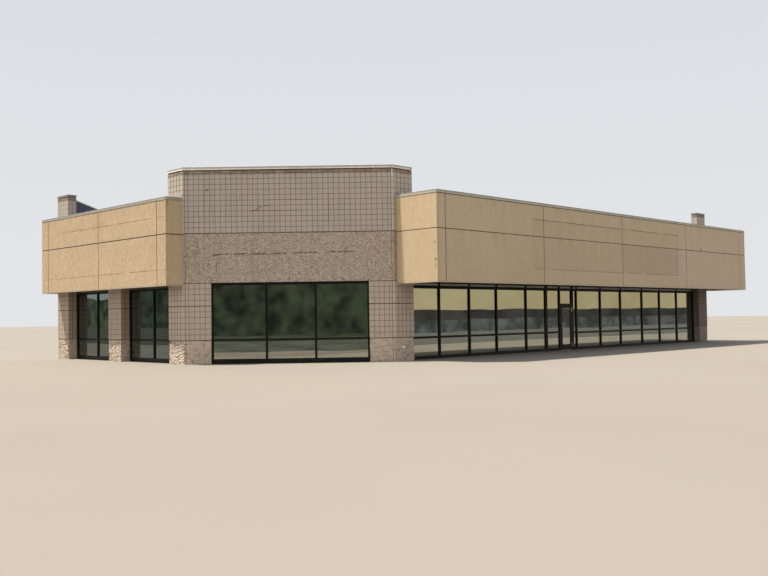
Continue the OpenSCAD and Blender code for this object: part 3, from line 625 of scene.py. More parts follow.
def make_membrane():
    m = M("roof_sheet")
    c = m.mix(m.rng(m.noise(.35, 4, .6), .3, .7), (.066, .084, .138), (.104, .126, .186))
    pud = m.noise(.16, 3, .55, loc=(4, 2, 0))
    up = m.n("SeparateXYZ"); m.l(m.coord(), up.inputs[0])
    c = m.mix(m.math("MULTIPLY", m.rng(pud, .50, .62, 0, .6), m.rng(up.outputs["Z"], 5.20, 5.26, 1, 0)), c, (.120, .112, .102))
    c = m.mix(m.rng(up.outputs["Z"], 5.20, 5.26, .62, 0), c, (.088, .092, .104))
    c = m.mix(m.rng(m.noise(40, 3, .7), .40, .75, 0, .45), c, (.14, .138, .135))
    c = m.mix(m.math("MULTIPLY", m.rng(m.noise(1.0, 5, .7, sc=(9, .5, 1)), .48, .70, 0, .35), m.rng(up.outputs["Z"], 5.20, 5.26, 1, 0)), c, (.050, .052, .060))
    c = m.mix(m.rng(m.attr("jf"), .2, .8, 0, .8), c, (.016, .016, .018))
    c = m.mix(m.rng(m.attr("mk"), .2, .8, 0, .72), c, (.128, .131, .138))
    nrm = m.bump(m.math("ADD", m.noise(1.1, 3, .6), m.math("MULTIPLY", m.noise(55, 2, .6), .1)), .02, .35)
    return m.done(c, m.rng(pud, .4, .65, .80, .62), nrm, spec=.3)


def make_concrete():
    m = M("trowelled_concrete")
    c = m.mix(m.rng(m.noise(.7, 5, .62), .3, .72), (.23, .215, .19), (.34, .325, .295))
    c = m.mix(m.rng(m.noise(35, 4, .7), .35, .75, 0, .4), c, (.16, .148, .13))
    v = m.n("TexVoronoi"); v.feature = "DISTANCE_TO_EDGE"; v.inputs["Scale"].default_value = .33; m.l(m.mapped((1, 1, 1)), v.inputs["Vector"])
    c = m.mix(m.rng(v.outputs["Distance"], 0, .004, .6, 0), c, (.07, .065, .06))
    return m.done(c, m.rng(m.noise(6, 3, .6), .3, .7, .55, .85), m.bump(m.noise(28, 4, .7), .004, .5))


def make_alu():
    m = M("satin_aluminium")
    br = m.noise(1.0, 3, .6, sc=(260, 260, 14))
    c = m.mix(m.rng(m.noise(9, 4, .6), .3, .7), (.42, .41, .40), (.55, .545, .53))
    c = m.mix(m.rng(m.noise(55, 4, .7), .52, .8, 0, .45), c, (.20, .18, .16))
    return m.done(c, m.rng(br, .3, .7, .24, .42), m.bump(br, .0005, .5), metal=.9)


def make_tap():
    m = M("worn_tap")
    # pale paint as the tap has, pushed near white as a painted highlight for its glint
    c = m.mix(m.rng(m.noise(40, 4, .6), .3, .7), (.88, .86, .80), (.97, .95, .91))
    c = m.mix(m.rng(m.noise(90, 4, .7), .55, .75, 0, .4), c, (.40, .30, .20))
    return m.done(c, m.rng(m.noise(60, 3, .6), .3, .7, .35, .6), m.bump(m.noise(120, 3, .6), .0012, .6), metal=.05)


def make_soffit():
    m = M("soffit_stucco_dark")
    # painted shade: the soffit is dark brown for the shade under the fascias
    c = m.mix(m.rng(m.noise(.8, 4, .6), .3, .7), (.060, .043, .028), (.098, .072, .047))
    c = m.mix(m.rng(m.noise(70, 3, .7), .4, .75, 0, .4), c, (.15, .115, .08))
    c = m.mix(m.rng(m.attr("jf"), .2, .8, 0, .85), c, (.012, .010, .008))
    return m.done(c, .92, m.bump(m.noise(120, 3, .7), .003, .6), spec=.2)


def make_sealant():
    m = M("old_sealant")
    c = m.mix(m.rng(m.noise(30, 4, .6), .3, .7), (.085, .052, .037), (.175, .120, .088))
    return m.done(c, .75, m.bump(m.noise(90, 3, .6), .002, .6))


def make_spandrel():
    m = M("grey_strip_glazing")
    # painted reflection: the grey with upright streaks stands for what this strip of glazing reflects
    c = m.mix(m.rng(m.noise(1.2, 3, .6), .3, .7), (.34, .345, .34), (.42, .42, .405))
    c = m.mix(m.rng(m.noise(1, 4, .7, sc=(10, 10, 2)), .5, .75, 0, .4), c, (.22, .21, .19))
    return m.done(c, .22, m.bump(m.noise(.8, 2, .5), .01, .2), spec=.5)


BLOCK, SPLIT, STUC, CAP, DARK, SEAL = make_block(), make_split(), make_stucco(), make_cap(), make_dark(), make_rubber_seal()
GLASS = make_glass("tinted_glass", (.42, .43, .375), .91)
GLASS_L = make_glass("tinted_glass_short_wing", (.19, .235, .215), .93)
MEMB, CONC, ALU, TAP, SOFFIT_PAINTED_SHADE, CAULK, SPAN = make_membrane(), make_concrete(), make_alu(), make_tap(), make_soffit(), make_sealant(), make_spandrel()

# ---------------------------------------------------------------- masonry
MOD = 0.2032
TZ = [SCR - (0.72 + k) * MOD for k in range(11)]           # level joints of the tall screen
PZ1 = [0.895 + 0.2154 * k for k in range(1, 6)]            # piers, between the two deep grooves
PZ2 = [2.185 + 0.2157 * k for k in range(1, 4)]
JW, JD = 0.0100, 0.009


def hj(zs, w=JW, d=JD, **kw): return [dict(z=z, w=w, d=d, **kw) for z in zs]
def vj(L, cols, w=JW, d=JD, **kw): return [dict(u=L * k / cols, w=w, d=d, **kw) for k in range(1, cols)]


# upright joints are wider and shallower on the faces that turn away from the chamfer
TURN = {"": {}, "x": dict(w=.0140, d=.006, k="u"), "y": dict(w=.0125, d=.008, k="u")}
def face_joints(L): return {e: vj(q[0], q[1], **TURN[q[2] if len(q) > 2 else ""]) for e, q in L.items()}


def pier_zones(L, top=LIN, band=True, edge=None, cmk=None, strip=()):
    """Split-face base, two scored fields and the deep grooves between them. L: {edge: columns}."""
    V = lambda: face_joints(L)
    C = dict(cmk=cmk or {}); X = lambda: {e: list(v) for e, v in (edge or {}).items()}
    W = {e: V()[e] + X().get(e, []) for e in L}
    return [dict(z=(0, 0.883), split=dict(step=.0185, amp=.036, f=15.0), g1=.018, lead=.006, h=[], v=X(), **C),
            dict(z=(0.907, 2.173), h=hj(PZ1), v=W, g0=.018, g1=.018, lead=.006, b=[dict(e=e, u=u, z=(.93, 2.15), d=0, mk=k) for e, u, k in strip], **C),
            dict(z=(2.197, top), h=hj(PZ2) + [dict(z=top - .004, w=.022, d=.014, k="u", cell=False)] * bool(band), v=W, g0=.018, lead=.006, b=[dict(e=e, u=u, z=(2.22, top - .03), d=0, mk=k) for e, u, k in strip], **C)]


def elen(poly, i):
    a, b = poly[i], poly[(i + 1) % len(poly)]
    return math.hypot(b[0] - a[0], b[1] - a[1])


def masonry(name, node, jobs, seed):
    """jobs: [(outline, visible edges, zones)], split zones get the rough material."""
    acc = Acc()
    for poly, vis, zones in jobs:
        wrap(acc, poly, vis, zones, seed)
    # a face belongs to the rough material where it lies in a split zone
    rough = [(z["z"][0], z["z"][1]) for _, _, zs in jobs for z in zs if z.get("split")]
    co = np.concatenate(acc.v); mi = np.concatenate(acc.mi)
    if rough:
        fz = np.array([co[f_, 2].mean() for f_ in acc.faces])
        ext = np.array([np.ptp(co[f_, 2]) for f_ in acc.faces])
        for a, b in rough:
            mi[(fz > a) & (fz < b) & (ext > 1e-6)] = 1
    acc.mi = [mi]; acc.v = [co]
    return piece(acc, name, [BLOCK, SPLIT], node)


# tall chamfered screen: rough band below, scored field above
UNDER = lambda z, w=.042, s=1.0, **kw: [dict(z=z - .012, w=w, d=.018, k="u", s=s, cell=False, **kw)]   # the dark gap under a coping
EDGE = lambda *us: [dict(u=u, w=.011, d=.013, cell=False) for u in us]


def tower_z(L, extra=(), edge=None, cmk=None):
    E_ = edge or {}
    return [dict(z=(LIN, 4.903), split=dict(step=.019, amp=.017, f=21.0), g0=.014, g1=.020, lead=.008, h=[], v={e: list(v) for e, v in E_.items()}, cmk=cmk or {}),
            dict(z=(4.931, SCR), h=hj(TZ) + UNDER(SCR), v={e: q + list(E_.get(e, [])) for e, q in face_joints(L).items()}, g0=.020, lead=.008, b=list(extra), cmk=cmk or {})]



p = [(0, CH), (CH, 0), (CH + .083, .2), (.2, CH + .083)]
LC = elen(p, 0)
masonry("tower_front_screen_blocks", "tower_front_screen",
        [(p, [1, 0, 0, 0], tower_z({0: (LC, 39)}, [dict(e=0, u=(.893, .943), z=(6.530, 6.582), d=.035, s=1.0),
                                                   dict(e=0, u=(2.434, 2.448), z=(6.28, 6.345), d=.02, s=1.0),
                                                   dict(e=0, u=(5.883, 5.897), z=(5.97, 6.14), d=.014, s=1.0),
                                                   dict(e=0, u=(5.478, 5.494), z=(5.30, 6.38), d=.013, s=.9),
                                                   dict(e=0, u=(2.60, 4.46), z=(TZ[7] - .008, TZ[7] + .008), d=.012, s=.8),
                                                   dict(e=0, u=(3.20, 5.02), z=(TZ[5] - .007, TZ[5] + .007), d=.012, s=.6),
                                                   dict(e=0, u=(2.837, 2.852), z=(5.74, 6.30), d=.012, s=.7),
                                                   dict(e=0, u=(7.868, LC - .0065), z=(7.02, 7.27), d=0, mk=1.0),
                                                   dict(e=0, u=(7.878, LC - .0065), z=(4.94, 7.27), d=0, mk=.42),
                                                   dict(e=0, u=(.020, .060), z=(4.94, 7.27), d=0, mk=.16)],
                                   edge={0: EDGE(.078, LC - .078)}, cmk={1: .55}))], 11)
p = [(0, CH), (.2, CH + .083), (LR, CH + .083), (LR, LY0), (0, LY0)]
masonry("tower_left_return_blocks", "tower_left_return", [(p, [0, 0, 0, 1, 1], tower_z({4: (elen(p, 4), 5, "x"), 3: (LR, 2)}))], 12)
p = [(CH, 0), (RX, 0), (RX, RR), (CH + .083, RR), (CH + .083, .2)]
masonry("tower_right_return_blocks", "tower_right_return", [(p, [1, 1, 0, 0, 0], tower_z({0: (elen(p, 0), 5, "y"), 1: (RR, 2)}, [dict(e=0, u=(.0065, .045), z=(4.94, 7.26), d=0, mk=.34)], cmk={0: .5}))], 13)

p = [(0, CH), chp(JL, 0), chp(JL, .212), (PD, 6.028 - PD), (PD, LY0), (0, LY0)]
masonry("tower_left_pier_blocks", "tower_left_pier",
        [(p, [1, 1, 0, 0, 1, 1], pier_zones({0: (elen(p, 0), 5), 1: (elen(p, 1), 2), 4: (PD, 3), 5: (PW, 5, "x")}, edge={0: EDGE(.078)}))], 14)
p = [(CH, 0), (RX, 0), (RX, RPD), (6.028 - RPD, RPD), chp(CH - JR, .212), chp(CH - JR, 0)]
masonry("tower_right_pier_blocks", "tower_right_pier",
        [(p, [1, 1, 0, 0, 1, 1], pier_zones({0: (elen(p, 0), 5, "y"), 1: (RPD, 3), 4: (elen(p, 4), 2), 5: (elen(p, 5), 5)}, edge={5: EDGE(elen(p, 5) - .078)}, cmk={0: .5},
                                           strip=((0, (.0065, .044), .55), (5, (elen(p, 5) - .040, elen(p, 5) - .0065), .40))))], 15)
p = [(0, MY0), (PD, MY0), (PD, MY1), (0, MY1)]
masonry("left_middle_pier_blocks", "left_middle_pier", [(p, [1, 0, 1, 1], pier_zones({0: (PD, 3, "y"), 2: (PD, 3), 3: (PW, 5, "x")}))], 16)
up_z = lambda L: [dict(z=(LIN, SCR), h=hj([z for z in [SCR - (0.72 + k) * MOD for k in range(21)] if z > LIN + .03]) + UNDER(SCR), v=face_joints(L), g0=.010, lead=.006)]
p = [(0, EY0), (PD, EY0), (PD, EY1), (0, EY1)]; q = [(0, EY0), (LR, EY0), (LR, EY1), (0, EY1)]
masonry("left_end_pier_blocks", "left_end_pier",
        [(p, [1, 0, 1, 1], pier_zones({0: (PD, 3, "y"), 2: (PD, 3), 3: (PW, 5, "x")})), (q, [1, 1, 1, 1], up_z({0: (LR, 2, "y"), 1: (PW, 5), 2: (LR, 2), 3: (PW, 5, "x")}))], 17)
p = [(EX0, 0), (EX1, 0), (EX1, RPD), (EX0, RPD)]; q = [(EX0, 0), (EX1, 0), (EX1, RR), (EX0, RR)]
masonry("right_end_pier_blocks", "right_end_pier",
        [(p, [1, 1, 0, 1], pier_zones({0: (PW, 5, "y"), 1: (RPD, 3), 3: (RPD, 3, "x")})), (q, [1, 1, 1, 1], up_z({0: (PW, 5, "y"), 1: (RR, 2), 2: (PW, 5), 3: (RR, 2, "x")}))], 18)


# running-bond rear and party walls; the rear one is cut to its raked parapet line
def bond_wall(name, node, jobs, seed):
    me = bpy.data.meshes.new(name); whole = bmesh.new()
    for poly, vis, e, z0, z1, off, cut in jobs:
        acc = Acc(); L = elen(poly, e)
        zs = [k * MOD for k in range(1, 37) if z0 + .02 < k * MOD < z1 - .02]
        # courses alternate, so the upright joints of odd and even courses are separate lines
        V = {e: []}; lv = [z0, *zs, z1]
        for c in range(len(lv) - 1):
            course = int(math.floor((lv[c] + .03) / MOD)); o = 0 if course % 2 == 0 else MOD
            k0 = math.ceil((off + .03 - o) / (2 * MOD))
            k = k0
            while k * 2 * MOD + o - off < L - .03:
                V[e].append(dict(u=k * 2 * MOD + o - off, w=.0062, d=.0062, z=(lv[c] + .0061, lv[c + 1] - .0061))); k += 1
        wrap(acc, poly, vis, [dict(z=(z0, z1), h=hj(zs, .0062, .0062), v=V, bond=1, eps=8e-4)], seed)
        m1 = acc.mesh("tmp"); b1 = bmesh.new(); b1.from_mesh(m1)
        if cut:
            co, no = cut
            r = bmesh.ops.bisect_plane(b1, geom=b1.verts[:] + b1.edges[:] + b1.faces[:], dist=1e-5, plane_co=(co[0] - OX, co[1] - OY, co[2]), plane_no=no, clear_outer=True)
            ed = [x for x in r["geom_cut"] if isinstance(x, bmesh.types.BMEdge) and x.is_boundary]
            bmesh.ops.holes_fill(b1, edges=ed, sides=0)
            bmesh.ops.recalc_face_normals(b1, faces=b1.faces[:])
        b1.to_mesh(m1); b1.free(); whole.from_mesh(m1); bpy.data.meshes.remove(m1)
    whole.to_mesh(me); whole.free()
    return piece(me, name, [BLOCK], node)


xr = LR + LIP + RAKE
rect = lambda x0, y0, x1, y1: [(x0, y0), (x1, y0), (x1, y1), (x0, y1)]
sl = (SCR - PAR) / RAKE
bond_wall("rear_wall_blocks", "rear_wall", [
    (rect(PD, REAR, xr, EY1), [0, 0, 1, 0], 2, 0, LIN, 0.0, None),
    (rect(LR, REAR, xr, EY1), [0, 0, 1, 0], 2, LIN, SCR, 0.0, ((LR + LIP, EY1, SCR), (sl, 0, 1))),
    (rect(xr, REAR, PARTY, EY1), [0, 0, 1, 0], 2, 0, PAR, 0.0, None)], 21)
bond_wall("party_wall_blocks", "party_wall", [
    (rect(PARTY, RR, EX1, RPD), [0, 1, 0, 0], 1, LIN, PAR, RR, None),
    (rect(PARTY, RPD, EX1, EY1), [0, 1, 1, 0], 1, 0, PAR, RPD, None)], 22)

# dark sealant smears left in the rough band and a fine crack in the scored field
rs = np.random.RandomState(5)
acc = Acc()


def smear(pts, w, lift=.0005, depth=.020, keep=1.0, step=.05):
    """A ragged flat ribbon of filler on the chamfer plane along (u, z) points."""
    pts = [np.array(q, float) for q in pts]; P2 = []
    for a, b in zip(pts[:-1], pts[1:]):
        m = max(1, int(np.hypot(*(b - a)) / step)); P2 += [a + (b - a) * t / m for t in range(m)]
    P2.append(pts[-1]); k = 0
    while k < len(P2) - 1:
        run = int(rs.randint(3, 8)) if keep < 1 else len(P2); seg = P2[k:k + run + 1]
        if len(seg) > 1 and (keep >= 1 or rs.rand() < keep):
            d = seg[-1] - seg[0]; d = d / max(np.hypot(*d), 1e-6); nn = np.array([-d[1], d[0]])
            top = []; bot = []
            for s, q in enumerate(seg):
                ww = w * (.35 + .9 * rs.rand()) * (.3 if s in (0, len(seg) - 1) else 1); j = (rs.rand() - .5) * w * .5
                top.append(q + nn * (ww / 2 + j)); bot.append(q + nn * (-ww / 2 + j))
            f0 = [acc.verts(CHAM(np.array([[q[0], dd, q[1]] for q in side]))) for side in (top, bot) for dd in (-lift, depth)]
            m = len(seg)
            a0, a1, b0, b1 = f0
            for s in range(m - 1):
                for x, y in ((b0, a0), (a0, a1), (a1, b1), (b1, b0)):
                    acc.poly([x[s], x[s + 1], y[s + 1], y[s]])
            acc.poly([a0[0], a1[0], b1[0], b0[0]]); acc.poly([b0[-1], b1[-1], a1[-1], a0[-1]])
        k += run


smear([(1.13, 4.10), (1.9, 4.14), (3.2, 4.125), (4.6, 4.14), (5.6, 4.15), (6.56, 4.16)], .046, keep=.84, step=.040)
smear([(1.10, 4.04), (1.22, 4.10), (1.36, 4.12)], .060, keep=.95, step=.03)
smear([(1.6, 4.10), (3.1, 4.10), (5.2, 4.115)], .016, keep=.5, step=.03)
smear([(2.18, 7.262), (2.58, 7.258)], .020, keep=.8, step=.04)
smear([(3.62, 7.262), (4.12, 7.259)], .020, keep=.8, step=.04)
smear([(3.99, 3.10), (4.0, 3.5), (3.985, 4.12)], .018, keep=.82, step=.03)
smear([(1.06, 3.06), (1.07, 3.4), (1.25, 3.42), (1.26, 3.80), (1.40, 3.82), (1.41, 4.1)], .018, keep=.8, step=.03)
smear([(6.93, 3.06), (6.94, 3.5)], .018, keep=.8, step=.03)
smear([(5.05, 3.2), (5.06, 3.44)], .016, keep=.9)
smear([(2.560, 5.700), (2.656, 5.737), (2.80, 5.80), (2.86, 5.86), (2.996, 5.921)], .033, depth=.012)
smear([(2.996, 5.921), (3.25, 5.945), (3.45, 5.95)], .029, depth=.012)
for q in ((3.72, 5.50, .10), (4.30, 5.42, .07), (5.20, 5.44, .09), (5.62, 6.36, .05)):
    smear([(q[0], q[1]), (q[0] + .004, q[1] + q[2])], .014, depth=.012)
o = piece(acc, "tower_sealant_smears", CAULK)
b = bmesh.new(); b.from_mesh(o.data); bmesh.ops.recalc_face_normals(b, faces=b.faces[:]); b.to_mesh(o.data); b.free()

# ---------------------------------------------------------------- stucco fascias
RV = dict(w=.0175, d=.013, k="u")
RVX = dict(w=.0200, d=.008, k="u")


def band_h(z, **kw): return dict(z=z, **{**RV, **kw})


F = -LPROJ
p = [(F, EY1), (F, CH), (0, CH), (0, CH + .15), (F + .15, CH + .15), (F + .15, EY1 - .15), (0, EY1 - .15), (0, EY1)]
# edge 0 runs from the far end (u=0 at Y=EY1) to the tower (u=L at Y=CH)
yu = lambda y: EY1 - y
acc = Acc()
wrap(acc, p, [1, 1, 0, 0, 0, 0, 0, 1], [dict(z=(LFZ0, LFZ1), h=[
    band_h(4.877, w=.0225, d=.015), dict(z=LFZ0 + .036, w=.005, d=.005, s=.6, cell=False), dict(z=LFZ1 - .004, w=.012, d=.008, k="u", s=.35, cell=False),
    dict(z=5.53, w=.012, d=.008, e=[0], u=(yu(14.0), yu(6.70)), s=.95, rag=.22, cell=False),
    dict(z=3.55, w=.011, d=.008, e=[0], u=(yu(15.25), yu(6.236)), s=.9, rag=.20, cell=False),
    dict(z=3.55, w=.008, d=.008, e=[0], u=(yu(6.236), yu(5.64)), s=.9, cell=False),
    dict(z=5.53, w=.008, d=.008, e=[0], u=(yu(6.236), yu(5.64)), s=.9, cell=False),
    dict(z=5.53, w=.008, d=.008, e=[0], u=(yu(15.93), yu(15.35)), s=.9, cell=False),
    dict(z=3.55, w=.008, d=.008, e=[0], u=(yu(15.93), yu(15.35)), s=.8, cell=False)],
    v={0: [dict(u=yu(15.35), **RVX), dict(u=yu(10.753), **RVX), dict(u=yu(6.236), **RVX)]}, b=[dict(e=1, u=(.045, .085), z=(5.93, 6.15), d=0, s=.42), dict(e=1, u=(.060, .076), z=(5.70, 5.92), d=0, s=.30), dict(e=1, u=(.30, .33), z=(6.02, 6.15), d=0, s=.26)], zl=[LFZ0 + .004, LFZ0 + .031],
    band=[(LFZ0 + .004, LFZ0 + .031, -0.0)])], 31)
piece(acc, "left_fascia_stucco", STUC, "left_fascia")

p = [(FX0, -RPROJ), (FX1, -RPROJ), (FX1, 0), (FX1 - .15, 0), (FX1 - .15, -RPROJ + .15), (FX0 + .15, -RPROJ + .15), (FX0 + .15, 0), (FX0, 0)]
xu = lambda x: x - FX0
acc = Acc()
wrap(acc, p, [1, 1, 0, 0, 0, 0, 0, 1], [dict(z=(RFZ0, RFZ1), h=[
    band_h(4.89), dict(z=RFZ0 + .036, w=.005, d=.005, s=.6, cell=False), dict(z=RFZ1 - .004, w=.012, d=.008, k="u", s=.35, cell=False), dict(z=RFZ1 - .006, w=.026, d=.012, k="u", s=.7, e=[0], u=(.004, 26.16), cell=False),
    dict(z=5.585, w=.016, d=.011, e=[0], u=(xu(11.72), xu(24.15)), s=1.0, rag=.16, cell=False),
    dict(z=3.555, w=.011, d=.008, e=[0], u=(xu(11.72), xu(24.15)), s=1.0, rag=.18, cell=False)],
    v={0: [dict(u=xu(q), **RV) for q in (6.242, 12.455, 18.747, 25.076, 31.545)] + [
        dict(u=xu(11.72), w=.006, d=.006, z=(3.56, 5.58), s=.55, cell=False), dict(u=xu(24.15), w=.012, d=.009, z=(3.56, 5.58), s=1.0, cell=False),
        dict(u=xu(25.03), w=.004, d=.004, z=(2.96, 4.88), s=.4, cell=False)]},
    b=[dict(e=0, u=(xu(11.73), xu(24.14)), z=(3.565, 5.572), d=.004, mk=.13),
       dict(e=0, u=(xu(18.76), xu(24.13)), z=(3.575, 4.87), d=.0045, mk=.27),
       dict(e=0, u=(xu(26.70), xu(26.78)), z=(4.95, 5.03), d=.012, s=.9), dict(e=0, u=(xu(24.70), xu(24.80)), z=(4.46, 4.50), d=.008, mk=.9),
       dict(e=0, u=(xu(24.70), xu(24.72)), z=(4.50, 4.56), d=.008, mk=.9)] +
      [dict(e=7, u=(2.032 - a, 2.032 - a + w_), z=(z_, z_ + h_), d=.010, s=s_) for a, w_, z_, h_, s_ in
       ((.115, .03, 4.33, .06, .8), (.10, .035, 3.70, .09, .8), (.105, .03, 3.47, .07, .8), (.10, .02, 4.05, .03, .6))],
    zl=[RFZ0 + .004, RFZ0 + .031])], 32)
# the strip that closes the shell behind, where it runs past the end pier
wrap(acc, rect(EX1, -.1, FX1 - .151, 0), [0, 0, 1, 0], [dict(z=(RFZ0, RFZ1), h=[band_h(4.89)], v={})], 33)
piece(acc, "right_fascia_stucco", STUC, "right_fascia")

# pale casing beads along the bottom of both fascias
acc = Acc()
for a, b_ in (((F - .0045, CH - .0045), (F + .0, EY1 + .0045)), ((F, CH - .0045), (-.002, CH)), ((F, EY1), (-.002, EY1 + .0045)),
              ((FX0 - .0045, -RPROJ - .0045), (FX1 + .0045, -RPROJ)), ((FX0 - .0045, -RPROJ), (FX0, -.002)), ((FX1, -RPROJ), (FX1 + .0045, -.002))):
    z0 = LFZ0 if a[0] < 2 else RFZ0
    bar(acc, (a[0], a[1], z0), (b_[0], b_[1], z0 + .028), .0012, mk=1.0)
piece(acc, "fascia_casing_beads", CAP)

# ---------------------------------------------------------------- sheet-metal copings
def cap_profile(acc, poly, vis, z0, z1, seams, seed=0, drip=.012):
    """The rows of a folded cap at the heights of its kicked drip edge, upright face and eased top edge; the fold itself
    is made afterwards, when the rows are moved in.
    """
    h = z1 - z0
    V = {}
    P = np.array(poly)
    for e, us in seams.items():
        V[e] = [dict(u=u, w=.004, d=.003, s=1.0) for u in us]
    zl = [z0 + .004, z0 + drip, z0 + drip + .004, z1 - .010, z1 - .004, z1 - .0012]
    wrap(acc, poly, vis, [dict(z=(z0, z1), h=[dict(z=z1 - .018, w=.010, d=.0015, k="u", s=.75, cell=False)], v=V, zl=zl + [z0 + drip + .012, z0 + .34 * h, z0 + .36 * h])], seed)
    return acc


def coping(name, node, outlines, every=3.05):
    objs = []
    acc = Acc(); spans = []
    for poly, z0, z1 in outlines:
        a0 = acc.n; n = len(poly); se = {}
        for i in range(n):
            L = elen(poly, i)
            se[i] = [L * k / max(1, round(L / every)) for k in range(1, max(1, round(L / every)))]
        cap_profile(acc, poly, [1] * n, z0, z1, se)
        spans.append((a0, acc.n, poly, z0, z1))
    # cream lower flange
    co = np.concatenate(acc.v); mk = np.concatenate(acc.mk)
    for a, b_, poly, z0, z1 in spans:
        mk[a:b_] = np.where(co[a:b_, 2] < z0 + .35 * (z1 - z0), 1.0, 0.0)
    acc.mk = [mk]; acc.v = [co]
    o = piece(acc, name, CAP, node)
    cc = np.zeros(len(o.data.vertices) * 3); o.data.vertices.foreach_get("co", cc); cc = cc.reshape(-1, 3)
    for a, b_, poly, z0, z1 in spans:
        sub = cc[a:b_].copy()
        P = np.array(poly) - np.array([OX, OY]); n = len(P); h = z1 - z0; t = sub[:, 2] - z0; drip = .012
        d = np.interp(t, [0, .003, drip, drip + .005, .34 * h, .36 * h, h - .010, h - .004, h], [.0035, 0, 0, .0065, .0065, .0048, .0048, .0062, .0105])
        E = np.roll(P, -1, 0) - P; L = np.hypot(E[:, 0], E[:, 1]); T = E / L[:, None]; N = np.stack([T[:, 1], -T[:, 0]], 1)
        for k in range(len(sub)):
            es = [i for i in range(n) if -1e-3 < (sub[k, :2] - P[i]) @ T[i] < L[i] + 1e-3 and abs((sub[k, :2] - P[i]) @ N[i]) < 5e-3]
            if not es: continue
            if len(es) == 1: sub[k, :2] -= N[es[0]] * d[k]
            else:
                A = np.array([N[es[0]], N[es[1]]])
                sub[k, :2] += np.linalg.solve(A, -np.array([d[k], d[k]])) if abs(np.linalg.det(A)) > 1e-3 else -N[es[0]] * d[k]
        cc[a:b_] = sub
    o.data.vertices.foreach_set("co", cc.ravel()); o.data.update()
    return o


def ccw(p):
    return p if sum(p[i][0] * p[(i + 1) % len(p)][1] - p[(i + 1) % len(p)][0] * p[i][1] for i in range(len(p))) > 0 else p[::-1]


coping("tower_coping_cap", "tower_coping", [(ccw([
    (-LIP, CH - .006), (CH - .006, -LIP), (RX + LIP, -LIP), (RX + LIP, RR + LIP), (CH + .068, RR + LIP), (CH + .068, .236),
    (.236, CH + .068), (LR + LIP, CH + .068), (LR + LIP, LY0 + LIP), (-LIP, LY0 + LIP)]), SCR, SCR + COP)])
coping("end_pier_coping_caps", "end_pier_copings", [
    (rect(-LIP, EY0 - LIP, LR + LIP, EY1 + LIP), SCR, SCR + .085), (rect(EX0 - LIP, -LIP, EX1 + LIP, RR + LIP), SCR, SCR + .085)])
coping("left_fascia_coping_cap", "left_fascia_coping", [(ccw([
    (F - LIP, CH - LIP), (0, CH - LIP), (0, LY0), (INX + LIP, LY0), (INX + LIP, REAR - LIP2),
    (LR, REAR - LIP2), (LR, EY0), (0, EY0), (0, EY1 + LIP), (F - LIP, EY1 + LIP)]), LFZ1, LFZ1 + COP)])
coping("right_fascia_coping_cap", "right_fascia_coping", [(ccw([
    (FX0 - LIP, -RPROJ - LIP), (FX1 + LIP, -RPROJ - LIP), (FX1 + LIP, 0), (EX0, 0), (EX0, INY + LIP), (RX, INY + LIP), (RX, 0), (FX0 - LIP, 0)]), RFZ1, RFZ1 + COP)])


# folded seams across the wide tops of the two fascia copings
def seam_rib(acc, p0, p1, z):
    """A folded standing seam along a level line: a turned-over lip on a low upright, ends closed."""
    a = np.array(p0, float); b_ = np.array(p1, float); d = (b_ - a) / np.hypot(*(b_ - a)); n_ = np.array([-d[1], d[0]])
    sec = [(-.020, -.002), (-.017, .0015), (-.004, .002), (-.003, .017), (-.007, .020), (-.005, .0235), (.006, .0235), (.008, .020), (.007, .016), (.004, .015), (.0035, .002), (.017, .0015), (.020, -.002)]
    i0, i1 = ([*acc.verts([(*(q + n_ * u), z + h) for u, h in sec])] for q in (a, b_))
    for k in range(len(sec)):
        m_ = (k + 1) % len(sec); acc.poly([i0[k], i0[m_], i1[m_], i1[k]])
    acc.poly(i0); acc.poly(i1[::-1])


acc = Acc(); L_ = FX1 - FX0 + 2 * LIP; n_ = round(L_ / 3.05)
for k in range(1, n_):
    x = FX0 - LIP + L_ * k / n_
    seam_rib(acc, (x, -RPROJ - LIP + .09), (x, (INY + LIP if RX < x < EX0 else 0) - .02), RFZ1 + COP)
fix_normals(piece(acc, "right_fascia_coping_seams", CAP))
acc = Acc(); L_ = EY1 - CH + 2 * LIP; n_ = round(L_ / 3.05)
for k in range(1, n_):
    y = CH - LIP + L_ * k / n_
    seam_rib(acc, (F - LIP + .09, y), ((INX + LIP if LY0 < y < EY0 else 0) - .02, y), LFZ1 + COP)
fix_normals(piece(acc, "left_fascia_coping_seams", CAP))


